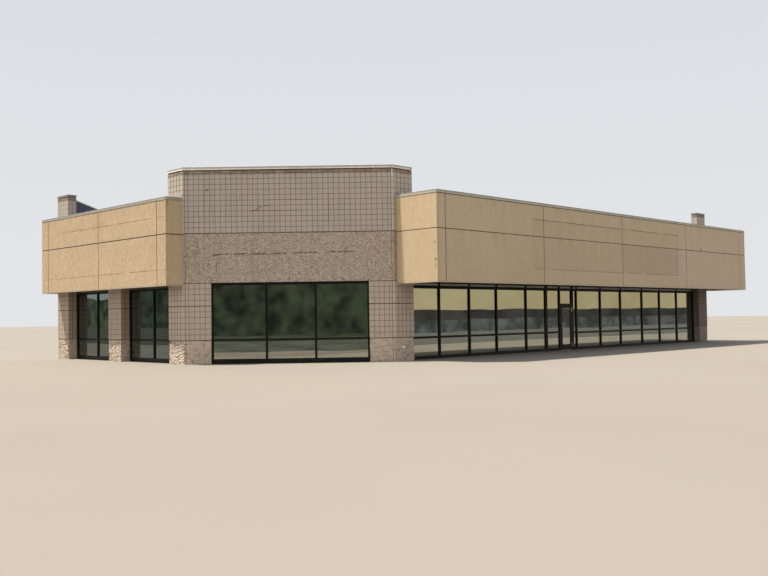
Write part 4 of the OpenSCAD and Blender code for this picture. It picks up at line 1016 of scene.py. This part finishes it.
def raked_cap(name, node, axis, a0, a1, x0, x1, zs):
    """A sheet cap along a parapet that drops and then runs level. zs: [(distance, z of its underside)]"""
    acc = Acc(); H = .060; lip = .004
    sec = [(a0, .000), (a0 + .0015, .010), (a0 + .006, .014), (a0 + .006, .050), (a0 + .012, H - .002), (a0 + .02, H - .0005),
           ((a0 + a1) / 2, H), (a1 - .02, H - .0005), (a1 - .012, H - .002), (a1 - .006, .050), (a1 - .006, .014), (a1 - .0015, .010), (a1, .000)]
    sec = [(q[0], q[1] - (.004 if abs(q[0] - (a0 + a1) / 2) < .02 else 0) * 0) for q in sec]
    st = []
    for (p0, z0), (p1, z1) in zip(zs[:-1], zs[1:]):
        m = max(1, round(abs(p1 - p0) / 3.05))
        for k in range(m):
            a, b_ = k / m, (k + 1) / m
            g = .003 / max(abs(p1 - p0), .01)
            st += [(p0 + (p1 - p0) * a, z0 + (z1 - z0) * a, 0.0)]
            if k: st[-1] = (st[-1][0], st[-1][1], 1.0)
    st.append((zs[-1][0], zs[-1][1], 0.0))
    rows = []
    full = []
    for s_, (x, z, seam) in enumerate(st):
        if seam:
            full += [(x - .004, z, 0), (x, z, .0028), (x + .004, z, 0)]
        else:
            full.append((x, z, 0))
    for x, z, dd in full:
        ring_ = [(q[0] + (dd if q[0] < (a0 + a1) / 2 else -dd) * (q[1] > .012), z + q[1] - (dd if q[1] > H - .004 else 0)) for q in sec]
        pts = [((r[0], x, r[1]) if axis == "x" else (x, r[0], r[1])) for r in ring_]
        rows.append(acc.verts(np.array(pts), jf=1.0 if dd else 0.0, mk=[1.0 if q[1] < .012 else 0 for q in sec]))
    m = len(sec)
    for a, b_ in zip(rows[:-1], rows[1:]):
        for k in range(m):
            l_ = (k + 1) % m
            acc.poly([a[k], a[l_], b_[l_], b_[k]])
    acc.poly(list(rows[0])); acc.poly(list(rows[-1])[::-1])
    o = piece(acc, name, CAP, node)
    b = bmesh.new(); b.from_mesh(o.data); bmesh.ops.recalc_face_normals(b, faces=b.faces[:]); b.to_mesh(o.data); b.free()
    return o


raked_cap("rear_wall_coping_cap", "rear_wall_coping", "y", REAR - LIP2, EY1 + LIP, 0, 0, [(LR + LIP, SCR), (xr, PAR), (PARTY - LIP2, PAR)])
raked_cap("party_wall_coping_cap", "party_wall_coping", "x", PARTY - LIP2, EX1 + LIP, 0, 0, [(RR + .001, PAR), (EY1 + LIP, PAR)])

# counter-flashing: a hemmed sheet let into a joint of the tall return
acc = Acc(); z0 = LFZ1 + COP
sec = [(-.0115, z0 + .001), (-.0115, z0 + .012), (-.0085, z0 + .016), (-.0070, z0 + .120), (-.0085, z0 + .150), (-.0100, z0 + .158), (-.0020, z0 + .169), (0, z0 + .1695), (0, z0 + .001)]
ys = [CH + .002, *[CH + PW * k / 6 for k in range(1, 6)], LY0 - .002]
rows = [acc.verts(np.array([(q[0] + (.0008 if s_ % 2 else 0) * (q[0] < -.003), y, q[1]) for q in sec]), mk=1.0) for s_, y in enumerate(ys)]
for a, b_ in zip(rows[:-1], rows[1:]):
    for k in range(len(sec)):
        l_ = (k + 1) % len(sec); acc.poly([a[k], a[l_], b_[l_], b_[k]])
acc.poly(list(rows[0])); acc.poly(list(rows[-1])[::-1])
o = piece(acc, "left_counter_flashing_sheet", CAP, "left_counter_flashing")
b = bmesh.new(); b.from_mesh(o.data); bmesh.ops.recalc_face_normals(b, faces=b.faces[:]); b.to_mesh(o.data); b.free()

# ---------------------------------------------------------------- soffits
def slab_with_joints(name, node, parts, z0, z1, mats, joints_x, joints_y):
    """A thin ceiling of rectangles that share edges, with V joints on its underside."""
    acc = Acc(); xs = sorted({round(v, 5) for r in parts for v in (r[0], r[2])} | {round(v + d, 5) for v in joints_x for d in (-.006, 0, .006)})
    ys = sorted({round(v, 5) for r in parts for v in (r[1], r[3])} | {round(v + d, 5) for v in joints_y for d in (-.006, 0, .006)})
    inside = lambda x, y: any(r[0] < x < r[2] and r[1] < y < r[3] for r in parts)
    cell = {(i, j) for i in range(len(xs) - 1) for j in range(len(ys) - 1) if inside((xs[i] + xs[i + 1]) / 2, (ys[j] + ys[j + 1]) / 2)}
    at = {}
    jx = {round(v, 5) for v in joints_x}; jy = {round(v, 5) for v in joints_y}

    def V(i, j, t):
        k = (i, j, t)
        if k not in at:
            g = (xs[i] in jx) or (ys[j] in jy)
            at[k] = int(acc.verts([(xs[i], ys[j], z1 if t else z0 + (.006 if g else 0))], jf=float(g and not t))[0])
        return at[k]
    for i, j in sorted(cell):
        acc.poly([V(i, j, 1), V(i + 1, j, 1), V(i + 1, j + 1, 1), V(i, j + 1, 1)])
        acc.poly([V(i, j, 0), V(i, j + 1, 0), V(i + 1, j + 1, 0), V(i + 1, j, 0)])
        for di, dj, a, b_ in ((0, -1, (0, 0), (1, 0)), (1, 0, (1, 0), (1, 1)), (0, 1, (1, 1), (0, 1)), (-1, 0, (0, 1), (0, 0))):
            if (i + di, j + dj) not in cell:
                acc.poly([V(i + a[0], j + a[1], 0), V(i + b_[0], j + b_[1], 0), V(i + b_[0], j + b_[1], 1), V(i + a[0], j + a[1], 1)])
    return piece(acc, name, mats, node)


slab_with_joints("left_soffit_panels", "left_soffit", [
    (F + .15, CH + .15, 0, EY1 - .15), (0, LY0, LR, MY0), (0, MY1, LR, EY0)], SOF, SOF + .02, SOFFIT_PAINTED_SHADE,
    [-.28], [CH + .15 + k * 1.22 for k in range(1, 8)])
slab_with_joints("right_soffit_panels", "right_soffit", [
    (FX0 + .15, -RPROJ + .15, FX1 - .15, -.1), (FX0 + .15, -.1, EX1, 0), (RX, 0, EX0, RR)], SOF, SOF + .02, SOFFIT_PAINTED_SHADE,
    [FX0 + .15 + k * 2.44 for k in range(1, 11)], [-.95])
# the left header wall takes the soffit's dark brown, painted shade
for n_ in ("left_header_wall", "right_header_wall"):
    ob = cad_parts[n_]; ob.data.materials.clear(); ob.data.materials.append(SOFFIT_PAINTED_SHADE if n_ == "left_header_wall" else STUC)

# ---------------------------------------------------------------- window and shopfront frames
def member(acc, u0, u1, z0, z1, n0, n1, T, upright, cap=.0):
    """One frame section: a bevelled tube with a shallow reveal line down its outer face."""
    w = (u1 - u0) if upright else (z1 - z0)
    if w < .05:
        bar(acc, (u0, n0, z0), (u1, n1, z1), .0015, T); return
    r = .004; c = .007                                     # reveal: half width, depth
    m = (u0 + u1) / 2 if upright else (z0 + z1) / 2
    if upright:
        sec = [(u0, n1), (u0, n0 + .002), (u0 + .002, n0), (m - r, n0), (m - r, n0 + c), (m + r, n0 + c), (m + r, n0), (u1 - .002, n0), (u1, n0 + .002), (u1, n1)]
        lo = acc.verts(T(np.array([(q[0], q[1], z0) for q in sec])), mk=[0, 0, 0, 0, 1, 1, 0, 0, 0, 0]); hi = acc.verts(T(np.array([(q[0], q[1], z1) for q in sec])), mk=[0, 0, 0, 0, 1, 1, 0, 0, 0, 0])
    else:
        sec = [(z1, n1), (z1, n0 + .002), (z1 - .002, n0), (m + r, n0), (m + r, n0 + c), (m - r, n0 + c), (m - r, n0), (z0 + .002, n0), (z0, n0 + .002), (z0, n1)]
        lo = acc.verts(T(np.array([(u0, q[1], q[0]) for q in sec])), mk=[0, 0, 0, 0, 1, 1, 0, 0, 0, 0]); hi = acc.verts(T(np.array([(u1, q[1], q[0]) for q in sec])), mk=[0, 0, 0, 0, 1, 1, 0, 0, 0, 0])
    k = len(sec)
    # (u, n, z) is right-handed, so the section runs anticlockwise seen from its far end when reversed
    s = 1 if upright else 1
    for a in range(k):
        b_ = (a + 1) % k
        acc.poly([lo[a], lo[b_], hi[b_], hi[a]])
    acc.poly(list(lo)[::-1]); acc.poly(list(hi))


def lattice(name, node, T, n0, n1, posts, rails, u_lim, ztop, glass_n, gt, panel=None, extra=None):
    """posts: [(u0,u1)], rails: [(z0,z1)] between neighbouring posts, panel: recessed strip (z0,z1)."""
    acc = Acc(); seals = Acc(); strips = Acc()
    posts = sorted(posts)
    for a, b_ in posts:
        member(acc, a, b_, 0, ztop, n0, n1, T, True)
    bays = []
    edges = sorted([u_lim[0]] + [q for p_ in posts for q in p_] + [u_lim[1]])
    for a, b_ in zip(edges[:-1], edges[1:]):
        if b_ - a > .004 and not any(p_[0] - 1e-6 <= a and b_ <= p_[1] + 1e-6 for p_ in posts): bays.append((a, b_))
    for a, b_ in bays:
        for z0, z1 in rails:
            member(acc, a, b_, z0, z1, n0, n1, T, False)
        if panel:
            bar(strips, (a, n0 + .030, panel[0]), (b_, n1 - .030, panel[1]), .002, T)
        rz = sorted(rails)
        for (p0, p1), (q0, q1) in zip(rz[:-1], rz[1:]):
            if panel and p1 <= panel[0] + 1e-6 and q0 >= panel[1] - 1e-6: continue
            if q0 - p1 < .1: continue
            ring(seals, a + .0003, b_ - .0003, p1 + .0003, q0 - .0003, .011, glass_n - .008, glass_n - .0004, T)
            ring(acc, a + .0002, b_ - .0002, p1 + .0002, q0 - .0002, .018, glass_n - .026, glass_n - .0082, T)
            ring(seals, a + .0003, b_ - .0003, p1 + .0003, q0 - .0003, .011, glass_n + gt + .0004, glass_n + gt + .008, T)
    if extra: extra(acc, seals)
    o = fix_normals(piece(acc, name, DARK, node))
    s_ = fix_normals(piece(seals, name + "_gaskets", SEAL))
    if strips.n: fix_normals(piece(strips, name + "_closing_strip", SPAN))
    return o


c0, c5 = JL * R2, (CH - JR) * R2
lattice("corner_window_frame_sections", "corner_window_frame", CHAM, .071 * R2, .142 * R2,
        [(c0, (JL + .036) * R2), (2.177 * R2, 2.213 * R2), (3.485 * R2, 3.521 * R2), ((CH - JR - .036) * R2, c5)],
        [(0, .165), (.872, .917), (2.968, LIN)], (c0, c5), LIN, .098 * R2, .017 * R2)
for nm, nd, y0, y1, ym in (("left_window_near_frame_sections", "left_window_near_frame", LY0, MY0, 8.408), ("left_window_far_frame_sections", "left_window_far_frame", MY1, EY0, 13.043)):
    lattice(nm, nd, LEFT, LR, LR + BD, [(-y1, -y1 + .05), (-ym - .030, -ym + .030), (-y0 - .05, -y0)],
            [(0, .145), (.868, .906), (LHEAD - .055, LHEAD)], (-y1, -y0), LHEAD, LR + GIN, GT)
half = lambda x: .08 if abs(x - 15.955) < 1e-3 else .045
RAILS = [(0, .110), (.825, .875), (HEAD - .1, HEAD), (STRIP, LIN)]; RAILS_R = [RAILS[0], (.780, .830), *RAILS[2:]]
J0, JR1, J1 = DX0 - .100, DX1 + .056, DX1 + .190
lattice("shopfront_frame_left_sections", "shopfront_frame_left", WORLD, RR, RR + BD,
        [(RX, RX + .09)] + [(x - half(x), x + half(x)) for x in LBARS], RAILS, (RX, J0), LIN, RR + GIN, GT, (HEAD, STRIP))
lattice("shopfront_frame_right_sections", "shopfront_frame_right", WORLD, RR, RR + BD,
        [(x - .045, x + .045) for x in RBARS] + [(EX0 - .09, EX0)], RAILS_R, (J1, EX0), LIN, RR + GIN, GT, (HEAD, STRIP))

# door surround: wide left jamb, right jamb, the solid panel beside it, transom bar and head
acc = Acc(); sl_ = Acc(); st_ = Acc()
member(acc, J0, DX0 - .008, 0, LIN, RR, RR + BD, WORLD, True)
member(acc, DX1 + .006, JR1, 0, LIN, RR, RR + BD, WORLD, True)
bar(acc, (JR1, RR + .012, 0), (J1, RR + BD, LIN), .002)
ring(acc, JR1 + .012, J1 - .012, .03, 2.10, .010, RR + .006, RR + .0122, WORLD)
ring(acc, JR1 + .012, J1 - .012, 2.13, 2.89, .010, RR + .006, RR + .0122, WORLD)
a, b_ = DX0 - .008, DX1 + .006
for z0, z1 in ((DTOP + .005, DTOP + .050), (HEAD - .1, HEAD), (STRIP, LIN)):
    member(acc, a, b_, z0, z1, RR, RR + BD, WORLD, False)
bar(st_, (a, RR + .03, HEAD), (b_, RR + BD - .03, STRIP), .002)
ring(acc, a + .0002, b_ - .0002, DTOP + .0502, HEAD - .1002, .018, RR + GIN - .026, RR + GIN - .0082, WORLD)
ring(sl_, a + .0003, b_ - .0003, DTOP + .0503, HEAD - .1003, .011, RR + GIN - .008, RR + GIN - .0004, WORLD)
ring(sl_, a + .0003, b_ - .0003, DTOP + .0503, HEAD - .1003, .011, RR + GIN + GT + .0004, RR + GIN + GT + .008, WORLD)
# stop strips that the closed leaf meets
for q in ((DX0 - .008, DX0 + .004), (DX1 - .006, DX1 + .006)):
    bar(acc, (q[0], RR + .056, .014), (q[1], RR + .070, DTOP + .005), .001)
bar(acc, (DX0 - .008, RR + .056, DTOP - .006), (DX1 + .006, RR + .070, DTOP + .006), .001)
fix_normals(piece(acc, "door_frame_sections", DARK, "door_frame"))
fix_normals(piece(sl_, "transom_gaskets", SEAL))
fix_normals(piece(st_, "door_head_closing_strip", SPAN))

# threshold: ribbed low saddle with a raised stop behind the leaf
acc = Acc(); pr = [(RR, 0), (RR, .006), (RR + .008, .0125)]
for k in range(4):
    y = RR + .010 + k * .0105
    pr += [(y, .0135), (y + .0055, .0135), (y + .0065, .0105), (y + .0095, .0105)]
pr += [(RR + .0562, .0135), (RR + .058, .0500), (RR + .061, .0518), (RR + BD - .004, .0518), (RR + BD, .049), (RR + BD, 0)]
lo = acc.verts([(DX0 - .008, q[0], q[1]) for q in pr]); hi = acc.verts([(DX1 + .006, q[0], q[1]) for q in pr]); k = len(pr)
for a in range(k):
    acc.poly([lo[a], lo[(a + 1) % k], hi[(a + 1) % k], hi[a]])
acc.poly(list(lo)); acc.poly(list(hi)[::-1])
fix_normals(piece(acc, "door_threshold_saddle", ALU, "door_threshold"))

# ---------------------------------------------------------------- door leaf
acc = Acc(); sl_ = Acc(); y0, y1 = RR + .006, RR + .051
za, zb, gz0, gz1 = .020, DTOP, .244, DTOP - .138; S = .130
for u0, u1 in ((DX0, DX0 + S), (DX1 - S, DX1)):
    bar(acc, (u0, y0, za), (u1, y1, zb), .004)
bar(acc, (DX0 + S, y0, za), (DX1 - S, y1, gz0), .003)
bar(acc, (DX0 + S, y0, gz1), (DX1 - S, y1, zb), .003)
ring(acc, DX0 + S + .0003, DX1 - S - .0003, gz0 + .0003, gz1 - .0003, .012, y0 + .0015, y0 + .0135, WORLD)
ring(acc, DX0 + S + .0003, DX1 - S - .0003, gz0 + .0003, gz1 - .0003, .012, y0 + .0265, y0 + .0435, WORLD)
ring(sl_, DX0 + S + .0120, DX1 - S - .0120, gz0 + .0120, gz1 - .0120, .004, y0 + .0105, y0 + .0138, WORLD)
# lock: a round rose on the pull stile
rod(acc, [(DX0 + .058, y0 + .001, 1.05 - .31), (DX0 + .058, y0 - .006, 1.05 - .31)], [.017, .0155], 20)
fix_normals(piece(acc, "door_leaf_rails", DARK, "door_leaf", "door"))
fix_normals(piece(sl_, "door_leaf_gasket", SEAL, (), "door"))

acc = Acc(); px, py = DX0 + .070, y0 - .060
rod(acc, [(px, py, .900), (px, py, .902), (px, py, .906), (px, py, 1.294), (px, py, 1.298), (px, py, 1.300)], [.008, .0115, .013, .013, .0115, .008], 20)
for z in (.940, 1.260):
    rod(acc, [(px, py + .002, z), (px, y0 - .010, z), (px, y0 - .006, z), (px, y0 + .0008, z)], [.009, .009, .016, .0175], 18)
fix_normals(piece(acc, "door_pull_handle", ALU, "door_pull", "door"))
acc = Acc(); pz, py = 1.050, y1 + .055
rod(acc, [(DX0 + .030, py, pz), (DX0 + .032, py, pz), (DX0 + .036, py, pz), (DX1 - .036, py, pz), (DX1 - .032, py, pz), (DX1 - .030, py, pz)], [.008, .0115, .013, .013, .0115, .008], 20)
for x in (DX0 + .065, DX1 - .065):
    rod(acc, [(x, py - .002, pz), (x, y1 + .012, pz), (x, y1 + .007, pz), (x, y1 - .0008, pz)], [.009, .009, .017, .019], 18)
fix_normals(piece(acc, "door_push_bar_rail", ALU, "door_push_bar", "door"))
acc = Acc()
bar(acc, (DX1 - .740, y1, 1.895), (DX1 - .125, y1 + .006, DTOP - .020), .0015)
# closer body: a cast block with rounded ends, and four round studs on its plate
bx0, bx1, bz0, bz1, by = DX1 - .490, DX1 - .150, 1.902, 1.962, y1 + .006
sec = [(bx0 + .004, by), (bx0, by + .010), (bx0 + .003, by + .040), (bx0 + .018, by + .052), (bx1 - .018, by + .052), (bx1 - .003, by + .040), (bx1, by + .010), (bx1 - .004, by)]
rw = []
for z, g in ((bz0, .006), (bz0 + .003, .002), (bz0 + .008, 0), (bz1 - .008, 0), (bz1 - .003, .002), (bz1, .006)):
    cx = (bx0 + bx1) / 2
    rw.append(acc.verts([(q[0] + (g if q[0] < cx else -g), q[1] - (g if q[1] > by + .02 else 0), z) for q in sec]))
for a, b_ in zip(rw[:-1], rw[1:]):
    for k in range(len(sec)):
        m_ = (k + 1) % len(sec); acc.poly([a[k], a[m_], b_[m_], b_[k]])
acc.poly(list(rw[0])); acc.poly(list(rw[-1])[::-1])
for x, z in ((DX1 - .72, 1.93), (DX1 - .72, 2.06), (DX1 - .145, 1.93), (DX1 - .145, 2.06)):
    rod(acc, [(x, y1 + .005, z), (x, y1 + .0085, z)], [.006, .0045], 12)
fix_normals(piece(acc, "door_closer_body", ALU, "door_closer", "door"))

# ---------------------------------------------------------------- hose bib on the right-hand pier
acc = Acc(); hx, hz = 6.041, .541
rod(acc, [(hx, .002, hz), (hx, -.004, hz), (hx, -.008, hz)], [.041, .041, .036], 28)
rod(acc, [(hx, -.006, hz), (hx, -.020, hz), (hx, -.024, hz), (hx, -.050, hz), (hx, -.074, hz)], [.012, .012, .015, .015, .011], 20)
rod(acc, [(hx, -.056, hz + .004), (hx, -.062, hz - .012), (hx, -.062, hz - .040), (hx, -.062, hz - .042), (hx, -.062, hz - .055)], [.013, .012, .012, .0125, .0125], 20)
rod(acc, [(hx, -.062, hz + .004), (hx, -.062, hz + .018), (hx, -.062, hz + .020), (hx, -.062, hz + .040)], [.011, .011, .006, .006], 16)
rg = []                                                   # wheel rim, fluted
for k in range(28):
    t = 2 * math.pi * k / 28; c_ = Vector((math.cos(t), math.sin(t), 0)); r_ = .0044 if k % 4 else .0032
    rg.append(acc.verts([(hx + (.0225 + r_ * math.cos(s_)) * c_.x, -.062 + (.0225 + r_ * math.cos(s_)) * c_.y, hz + .0385 + r_ * math.sin(s_)) for s_ in [2 * math.pi * j / 8 for j in range(8)]]))
for k in range(28):
    a, b_ = rg[k], rg[(k + 1) % 28]
    for j in range(8):
        m_ = (j + 1) % 8; acc.poly([a[j], a[m_], b_[m_], b_[j]])
for k in range(4):
    t = math.pi / 4 + k * math.pi / 2
    rod(acc, [(hx, -.062, hz + .038), (hx + .021 * math.cos(t), -.062 + .021 * math.sin(t), hz + .0385)], .003, 8)
fix_normals(piece(acc, "hose_bib_tap", TAP, "hose_bib"))

# ---------------------------------------------------------------- roof
outline = [(.2, CH + .083), (CH + .083, .2), (CH + .083, INY), (PARTY, INY), (PARTY, REAR), (INX, REAR), (INX, CH + .083)]
acc = Acc(); zr0, zr1 = DECK + .2, DECK + .22
xs = [INX + .001, *np.arange(INX + 2.0, PARTY - .3, 2.0), PARTY - .021]
# field sheet
top = [acc.verts([(x, y, zr1 - .002) for x, y in outline])]; bot = [acc.verts([(x, y, zr0) for x, y in outline])]
acc.poly(list(top[0])); acc.poly(list(bot[0])[::-1])
for k in range(len(outline)):
    m_ = (k + 1) % len(outline); acc.poly([bot[0][k], bot[0][m_], top[0][m_], top[0][k]])


def y_low(x):
    return INY if x > CH + .083 else max(.2, CH + .283 - x)


for i, x in enumerate(xs[1:-1]):                          # lap seams across the roof, a little wavy
    n_ = 26; yy = np.linspace(y_low(x) + .08, REAR - .05, n_); w = [.004 * math.sin(3.1 * k + i) for k in range(n_)]
    sec = [(-.085, -.001), (-.080, .0035), (0, .0046), (.080, .0035), (.085, -.001)]
    rows = [acc.verts([(x + q[0] + w[k], yy[k], zr1 - .002 + q[1]) for q in sec], mk=1.0, jf=[1, .2, 0, .2, 1]) for k in range(n_)]
    for a, b_ in zip(rows[:-1], rows[1:]):
        for q in range(len(sec)):
            m_ = (q + 1) % len(sec); acc.poly([a[q], a[m_], b_[m_], b_[q]])
    acc.poly(list(rows[0])); acc.poly(list(rows[-1])[::-1])
for i, (x, x2) in enumerate(zip(xs[:-1], xs[1:])):         # end laps between two long seams, staggered
    for y in np.arange(y_low(x) + 1.9 + (2.3 * i) % 3.7, REAR - 1.2, 4.6):
        e_ = [acc.verts([(x_, y + q[0] + .004 * math.sin(5 * x_ + i), zr1 - .002 + q[1]) for q in sec], mk=1.0, jf=[1, .2, 0, .2, 1]) for x_ in np.linspace(x + .086, x2 - .086, 9)]
        for a, b_ in zip(e_[:-1], e_[1:]):
            for q in range(len(sec)):
                m_ = (q + 1) % len(sec); acc.poly([a[q], a[m_], b_[m_], b_[q]])
        acc.poly(list(e_[0])); acc.poly(list(e_[-1])[::-1])


def cant(p0, p1, side):
    """A sloped strip where the sheet turns up a wall."""
    a = np.array(p0); b_ = np.array(p1); d = (b_ - a) / np.hypot(*(b_ - a)); s_ = np.array(side, float)
    c = [(0, 0), (.09, 0), (.075, .012), (.012, .085), (0, .09)]
    i0 = acc.verts([(*(a + s_ * q[0]), zr1 - .003 + q[1]) for q in c], mk=.5); i1 = acc.verts([(*(b_ + s_ * q[0]), zr1 - .003 + q[1]) for q in c], mk=.5)
    for k in range(5):
        m_ = (k + 1) % 5; acc.poly([i0[k], i0[m_], i1[m_], i1[k]])
    acc.poly(list(i0)); acc.poly(list(i1)[::-1])


cant((.2 + .01, CH + .073), (CH + .073, .21), (1 / R2, 1 / R2)); cant((CH + .083, INY), (PARTY - .02, INY), (0, 1))
cant((INX, CH + .083), (INX, REAR - .02), (1, 0)); cant((INX, REAR - .02), (PARTY - .02, REAR - .02), (0, -1)); cant((PARTY - .02, INY), (PARTY - .02, REAR - .02), (-1, 0))


def upstand(pts, axis, off, t=.0185, ju=2.0):
    """The sheet dressed up the inner face of a parapet, with lap lines."""
    lo, hi = off - t, off - .0002
    us = [q[0] for q in pts]; a, b_ = min(us), max(us)
    cut = sorted({a, b_, *[v for v in np.arange(a + ju, b_ - .2, ju) for v in (v - .05, v, v + .004)], *us})
    topz = lambda u: float(np.interp(u, [q[0] for q in pts], [q[1] for q in pts]))
    rows = []
    for u in cut:
        k = np.isclose((u - a - ju) % ju, 0, atol=1e-6) and a + .1 < u < b_ - .1
        z = topz(u) - .003; p_ = lo - (.0012 if k else 0)
        c = [(lo + (0 if not k else -.0012), zr1), (lo + (0 if not k else -.0012), z), (hi, z), (hi, zr1)]
        rows.append(acc.verts([((u, q[0], q[1]) if axis == "x" else (q[0], u, q[1])) for q in c], jf=1.0 if k else 0.0))
    for r, s_ in zip(rows[:-1], rows[1:]):
        for q in range(4):
            m_ = (q + 1) % 4; acc.poly([r[q], r[m_], s_[m_], s_[q]])
    acc.poly(list(rows[0])); acc.poly(list(rows[-1])[::-1])


upstand([(LR + LIP + .001, SCR - .001), (xr, PAR), (PARTY - .021, PAR)], "x", REAR)
upstand([(INY + .001, PAR), (REAR - .0005, PAR)], "y", PARTY)
fix_normals(piece(acc, "roof_membrane_sheets", MEMB, "roof_membrane"))

# ---------------------------------------------------------------- CAD nodes that stay, with their materials
for n_, m_ in (("floor_slab", CONC), ("roof_deck", CONC), ("corner_window_glass", GLASS), ("left_window_glass", GLASS_L), ("shopfront_glass", GLASS),
               ("transom_glass", GLASS), ("door_glass", GLASS), ("door_leaf_pivots", ALU), ("door_frame_pivots", ALU)):
    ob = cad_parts[n_]; ob.data.materials.clear(); ob.data.materials.append(m_)

# ---------------------------------------------------------------- stage and light
me = bpy.data.meshes.new("stage_floor"); g = 320.0
me.from_pydata([(-g, -g, -.0008), (g, -g, -.0008), (g, g, -.0008), (-g, g, -.0008)], [], [(0, 1, 2, 3)])
fl = bpy.data.objects.new("stage_floor", me); bpy.context.collection.objects.link(fl)
m = M("stage_pale"); me.materials.append(m.done(m.mix(m.rng(m.noise(.05, 2, .5), .3, .7), (.252, .224, .186), (.268, .240, .202)), .9, spec=.2))

w = bpy.data.worlds.new("studio"); bpy.context.scene.world = w; w.use_nodes = True
nt = w.node_tree; bg = nt.nodes["Background"]; bg.inputs[1].default_value = 1.0
tc = nt.nodes.new("ShaderNodeTexCoord"); sep = nt.nodes.new("ShaderNodeSeparateXYZ"); nt.links.new(tc.outputs["Generated"], sep.inputs[0])
rp = nt.nodes.new("ShaderNodeValToRGB"); rp.color_ramp.interpolation = "EASE"
mr = nt.nodes.new("ShaderNodeMapRange"); mr.inputs[1].default_value = -.05; mr.inputs[2].default_value = 1.0; nt.links.new(sep.outputs["Z"], mr.inputs[0]); nt.links.new(mr.outputs[0], rp.inputs[0])
rp.color_ramp.elements[0].color = (.77, .785, .80, 1); rp.color_ramp.elements[1].color = (.55, .62, .73, 1)
nt.links.new(rp.outputs[0], bg.inputs[0])
for nm, en, ang, col, toward, el in (("key", 7.0, 1.8, (1.0, .945, .86), (.660, -.751), 63.7), ("fill", .42, 60.0, (1.0, .93, .84), (.985, .17), 22.0)):
    sun = bpy.data.lights.new(nm, "SUN"); sun.energy = en; sun.angle = math.radians(ang); sun.color = col
    so = bpy.data.objects.new(nm, sun); bpy.context.collection.objects.link(so)
    el = math.radians(el); dv = Vector((toward[0] * math.cos(el), toward[1] * math.cos(el), -math.sin(el)))
    so.rotation_euler = dv.to_track_quat("-Z", "Y").to_euler()


def card(name, a, b_, z0, z1, cols, ragged=0.0, freq=.15, soft=.5, seed=1):
    """A glowing studio card that only the glass sees, a painted reflection of the surroundings: an upright sheet from a
    to b_, its top ragged if asked.
    """
    m_ = 160; u = np.linspace(0, 1, m_ + 1); x = a[0] + (b_[0] - a[0]) * u - OX; y = a[1] + (b_[1] - a[1]) * u - OY
    t = fbm(x + 500, y + 500, 0 * x, freq, 4, seed, .6); top = z1 - ragged * t
    co = [(x[k], y[k], z0) for k in range(m_ + 1)] + [(x[k], y[k], float(top[k])) for k in range(m_ + 1)]
    me = bpy.data.meshes.new(name); me.from_pydata(co, [], [(k, k + 1, m_ + 2 + k, m_ + 1 + k) for k in range(m_)])
    ob = bpy.data.objects.new(name, me); bpy.context.collection.objects.link(ob)
    ob.visible_camera = ob.visible_diffuse = ob.visible_shadow = ob.visible_transmission = False
    q = M(name); em = q.n("Emission"); q.l(q.mix(q.rng(q.noise(soft, 5, .6), .38, .62), *cols), em.inputs[0]); q.l(em.outputs[0], q.o.inputs[0])
    me.materials.append(q.m)


card("card_dark_low", (-60, -112), (460, -112), -.2, 3.25, ((.044, .043, .042), (.118, .112, .104)), 0, .1, .10, 2)
card("card_tan_high", (-60, -112), (460, -112), 3.25, 30, ((.74, .62, .37), (.88, .75, .47)), 0, .1, .02, 3)
card("card_mixed_low", (-4, -38), (300, -38), -.2, 1.50, ((.080, .086, .092), (.250, .262, .282)), .35, .35, .42, 9)
card("card_green_front", (-135, 60), (60, -135), -.2, 14, ((.012, .018, .012), (.085, .115, .066)), 3.0, .08, .60, 4)
card("card_green_left", (-95, 186), (-95, -60), -.2, 15, ((0.040, 0.051, 0.038), (0.165, 0.192, 0.122)), 3.0, .10, .35, 5)
card("card_green_far_left", (-95, 320), (-95, 184), -.2, 9.6, ((0.066, 0.082, 0.059), (0.264, 0.293, 0.191)), 3.2, .10, .35, 6)


def floor_card(name, o, n, half, d0, d1, wob, cols, seed):
    """A darker glowing sheet flat on the stage that only the glass sees, a painted reflection of the ground and the
    shade on it: from d0 to d1 out along n.
    """
    me = bpy.data.meshes.new(name); co = []; m_ = 60; tx, ty = -n[1], n[0]
    for k in range(m_ + 1):
        a_ = -half + 2 * half * k / m_
        w0 = float(vnoise(np.array(a_ * .8 + 90), np.array(5.0), np.array(0.0), seed)); w1 = float(vnoise(np.array(a_ * .35 + 50), np.array(3.0), np.array(0.0), seed + 1))
        for d_ in (d0 + wob * w0, d1 + 2 * wob * w1):
            co.append((o[0] + tx * a_ + n[0] * d_ - OX, o[1] + ty * a_ + n[1] * d_ - OY, .003 + .0004 * (seed % 5)))
    me.from_pydata(co, [], [(2 * k, 2 * k + 1, 2 * k + 3, 2 * k + 2) for k in range(m_)])
    ob = bpy.data.objects.new(name, me); bpy.context.collection.objects.link(ob)
    ob.visible_camera = ob.visible_diffuse = ob.visible_shadow = ob.visible_transmission = False
    q = M(name); em = q.n("Emission"); q.l(q.mix(q.rng(q.noise(.5, 5, .6, sc=(1, 1, 1)), .38, .62), *cols), em.inputs[0]); q.l(em.outputs[0], q.o.inputs[0])
    me.materials.append(q.m)


floor_card("card_floor_right", (85, 0), (0, -1), 90, 11.0, 37.5, 1.2, ((.300, .296, .272), (.385, .378, .344)), 31)
floor_card("card_floor_corner_far", (2.8, 2.8), (-.707, -.707), 46, 30, 98, 3, ((.032, .050, .028), (.130, .165, .085)), 11)
floor_card("card_floor_corner", (2.8, 2.8), (-.707, -.707), 22, 11.0, 32, 3, ((.112, .122, .102), (.285, .292, .240)), 8)
floor_card("card_floor_left", (0, 60), (-1, 0), 70, 1.2, 13.5, .8, ((0.473, 0.412, 0.357), (0.638, 0.531, 0.449)), 15)
floor_card("card_floor_left_far", (0, 120), (-1, 0), 150, 12.0, 94, 2, ((0.121, 0.128, 0.104), (0.330, 0.302, 0.226)), 21)
bpy.context.scene.view_settings.view_transform = "Standard"
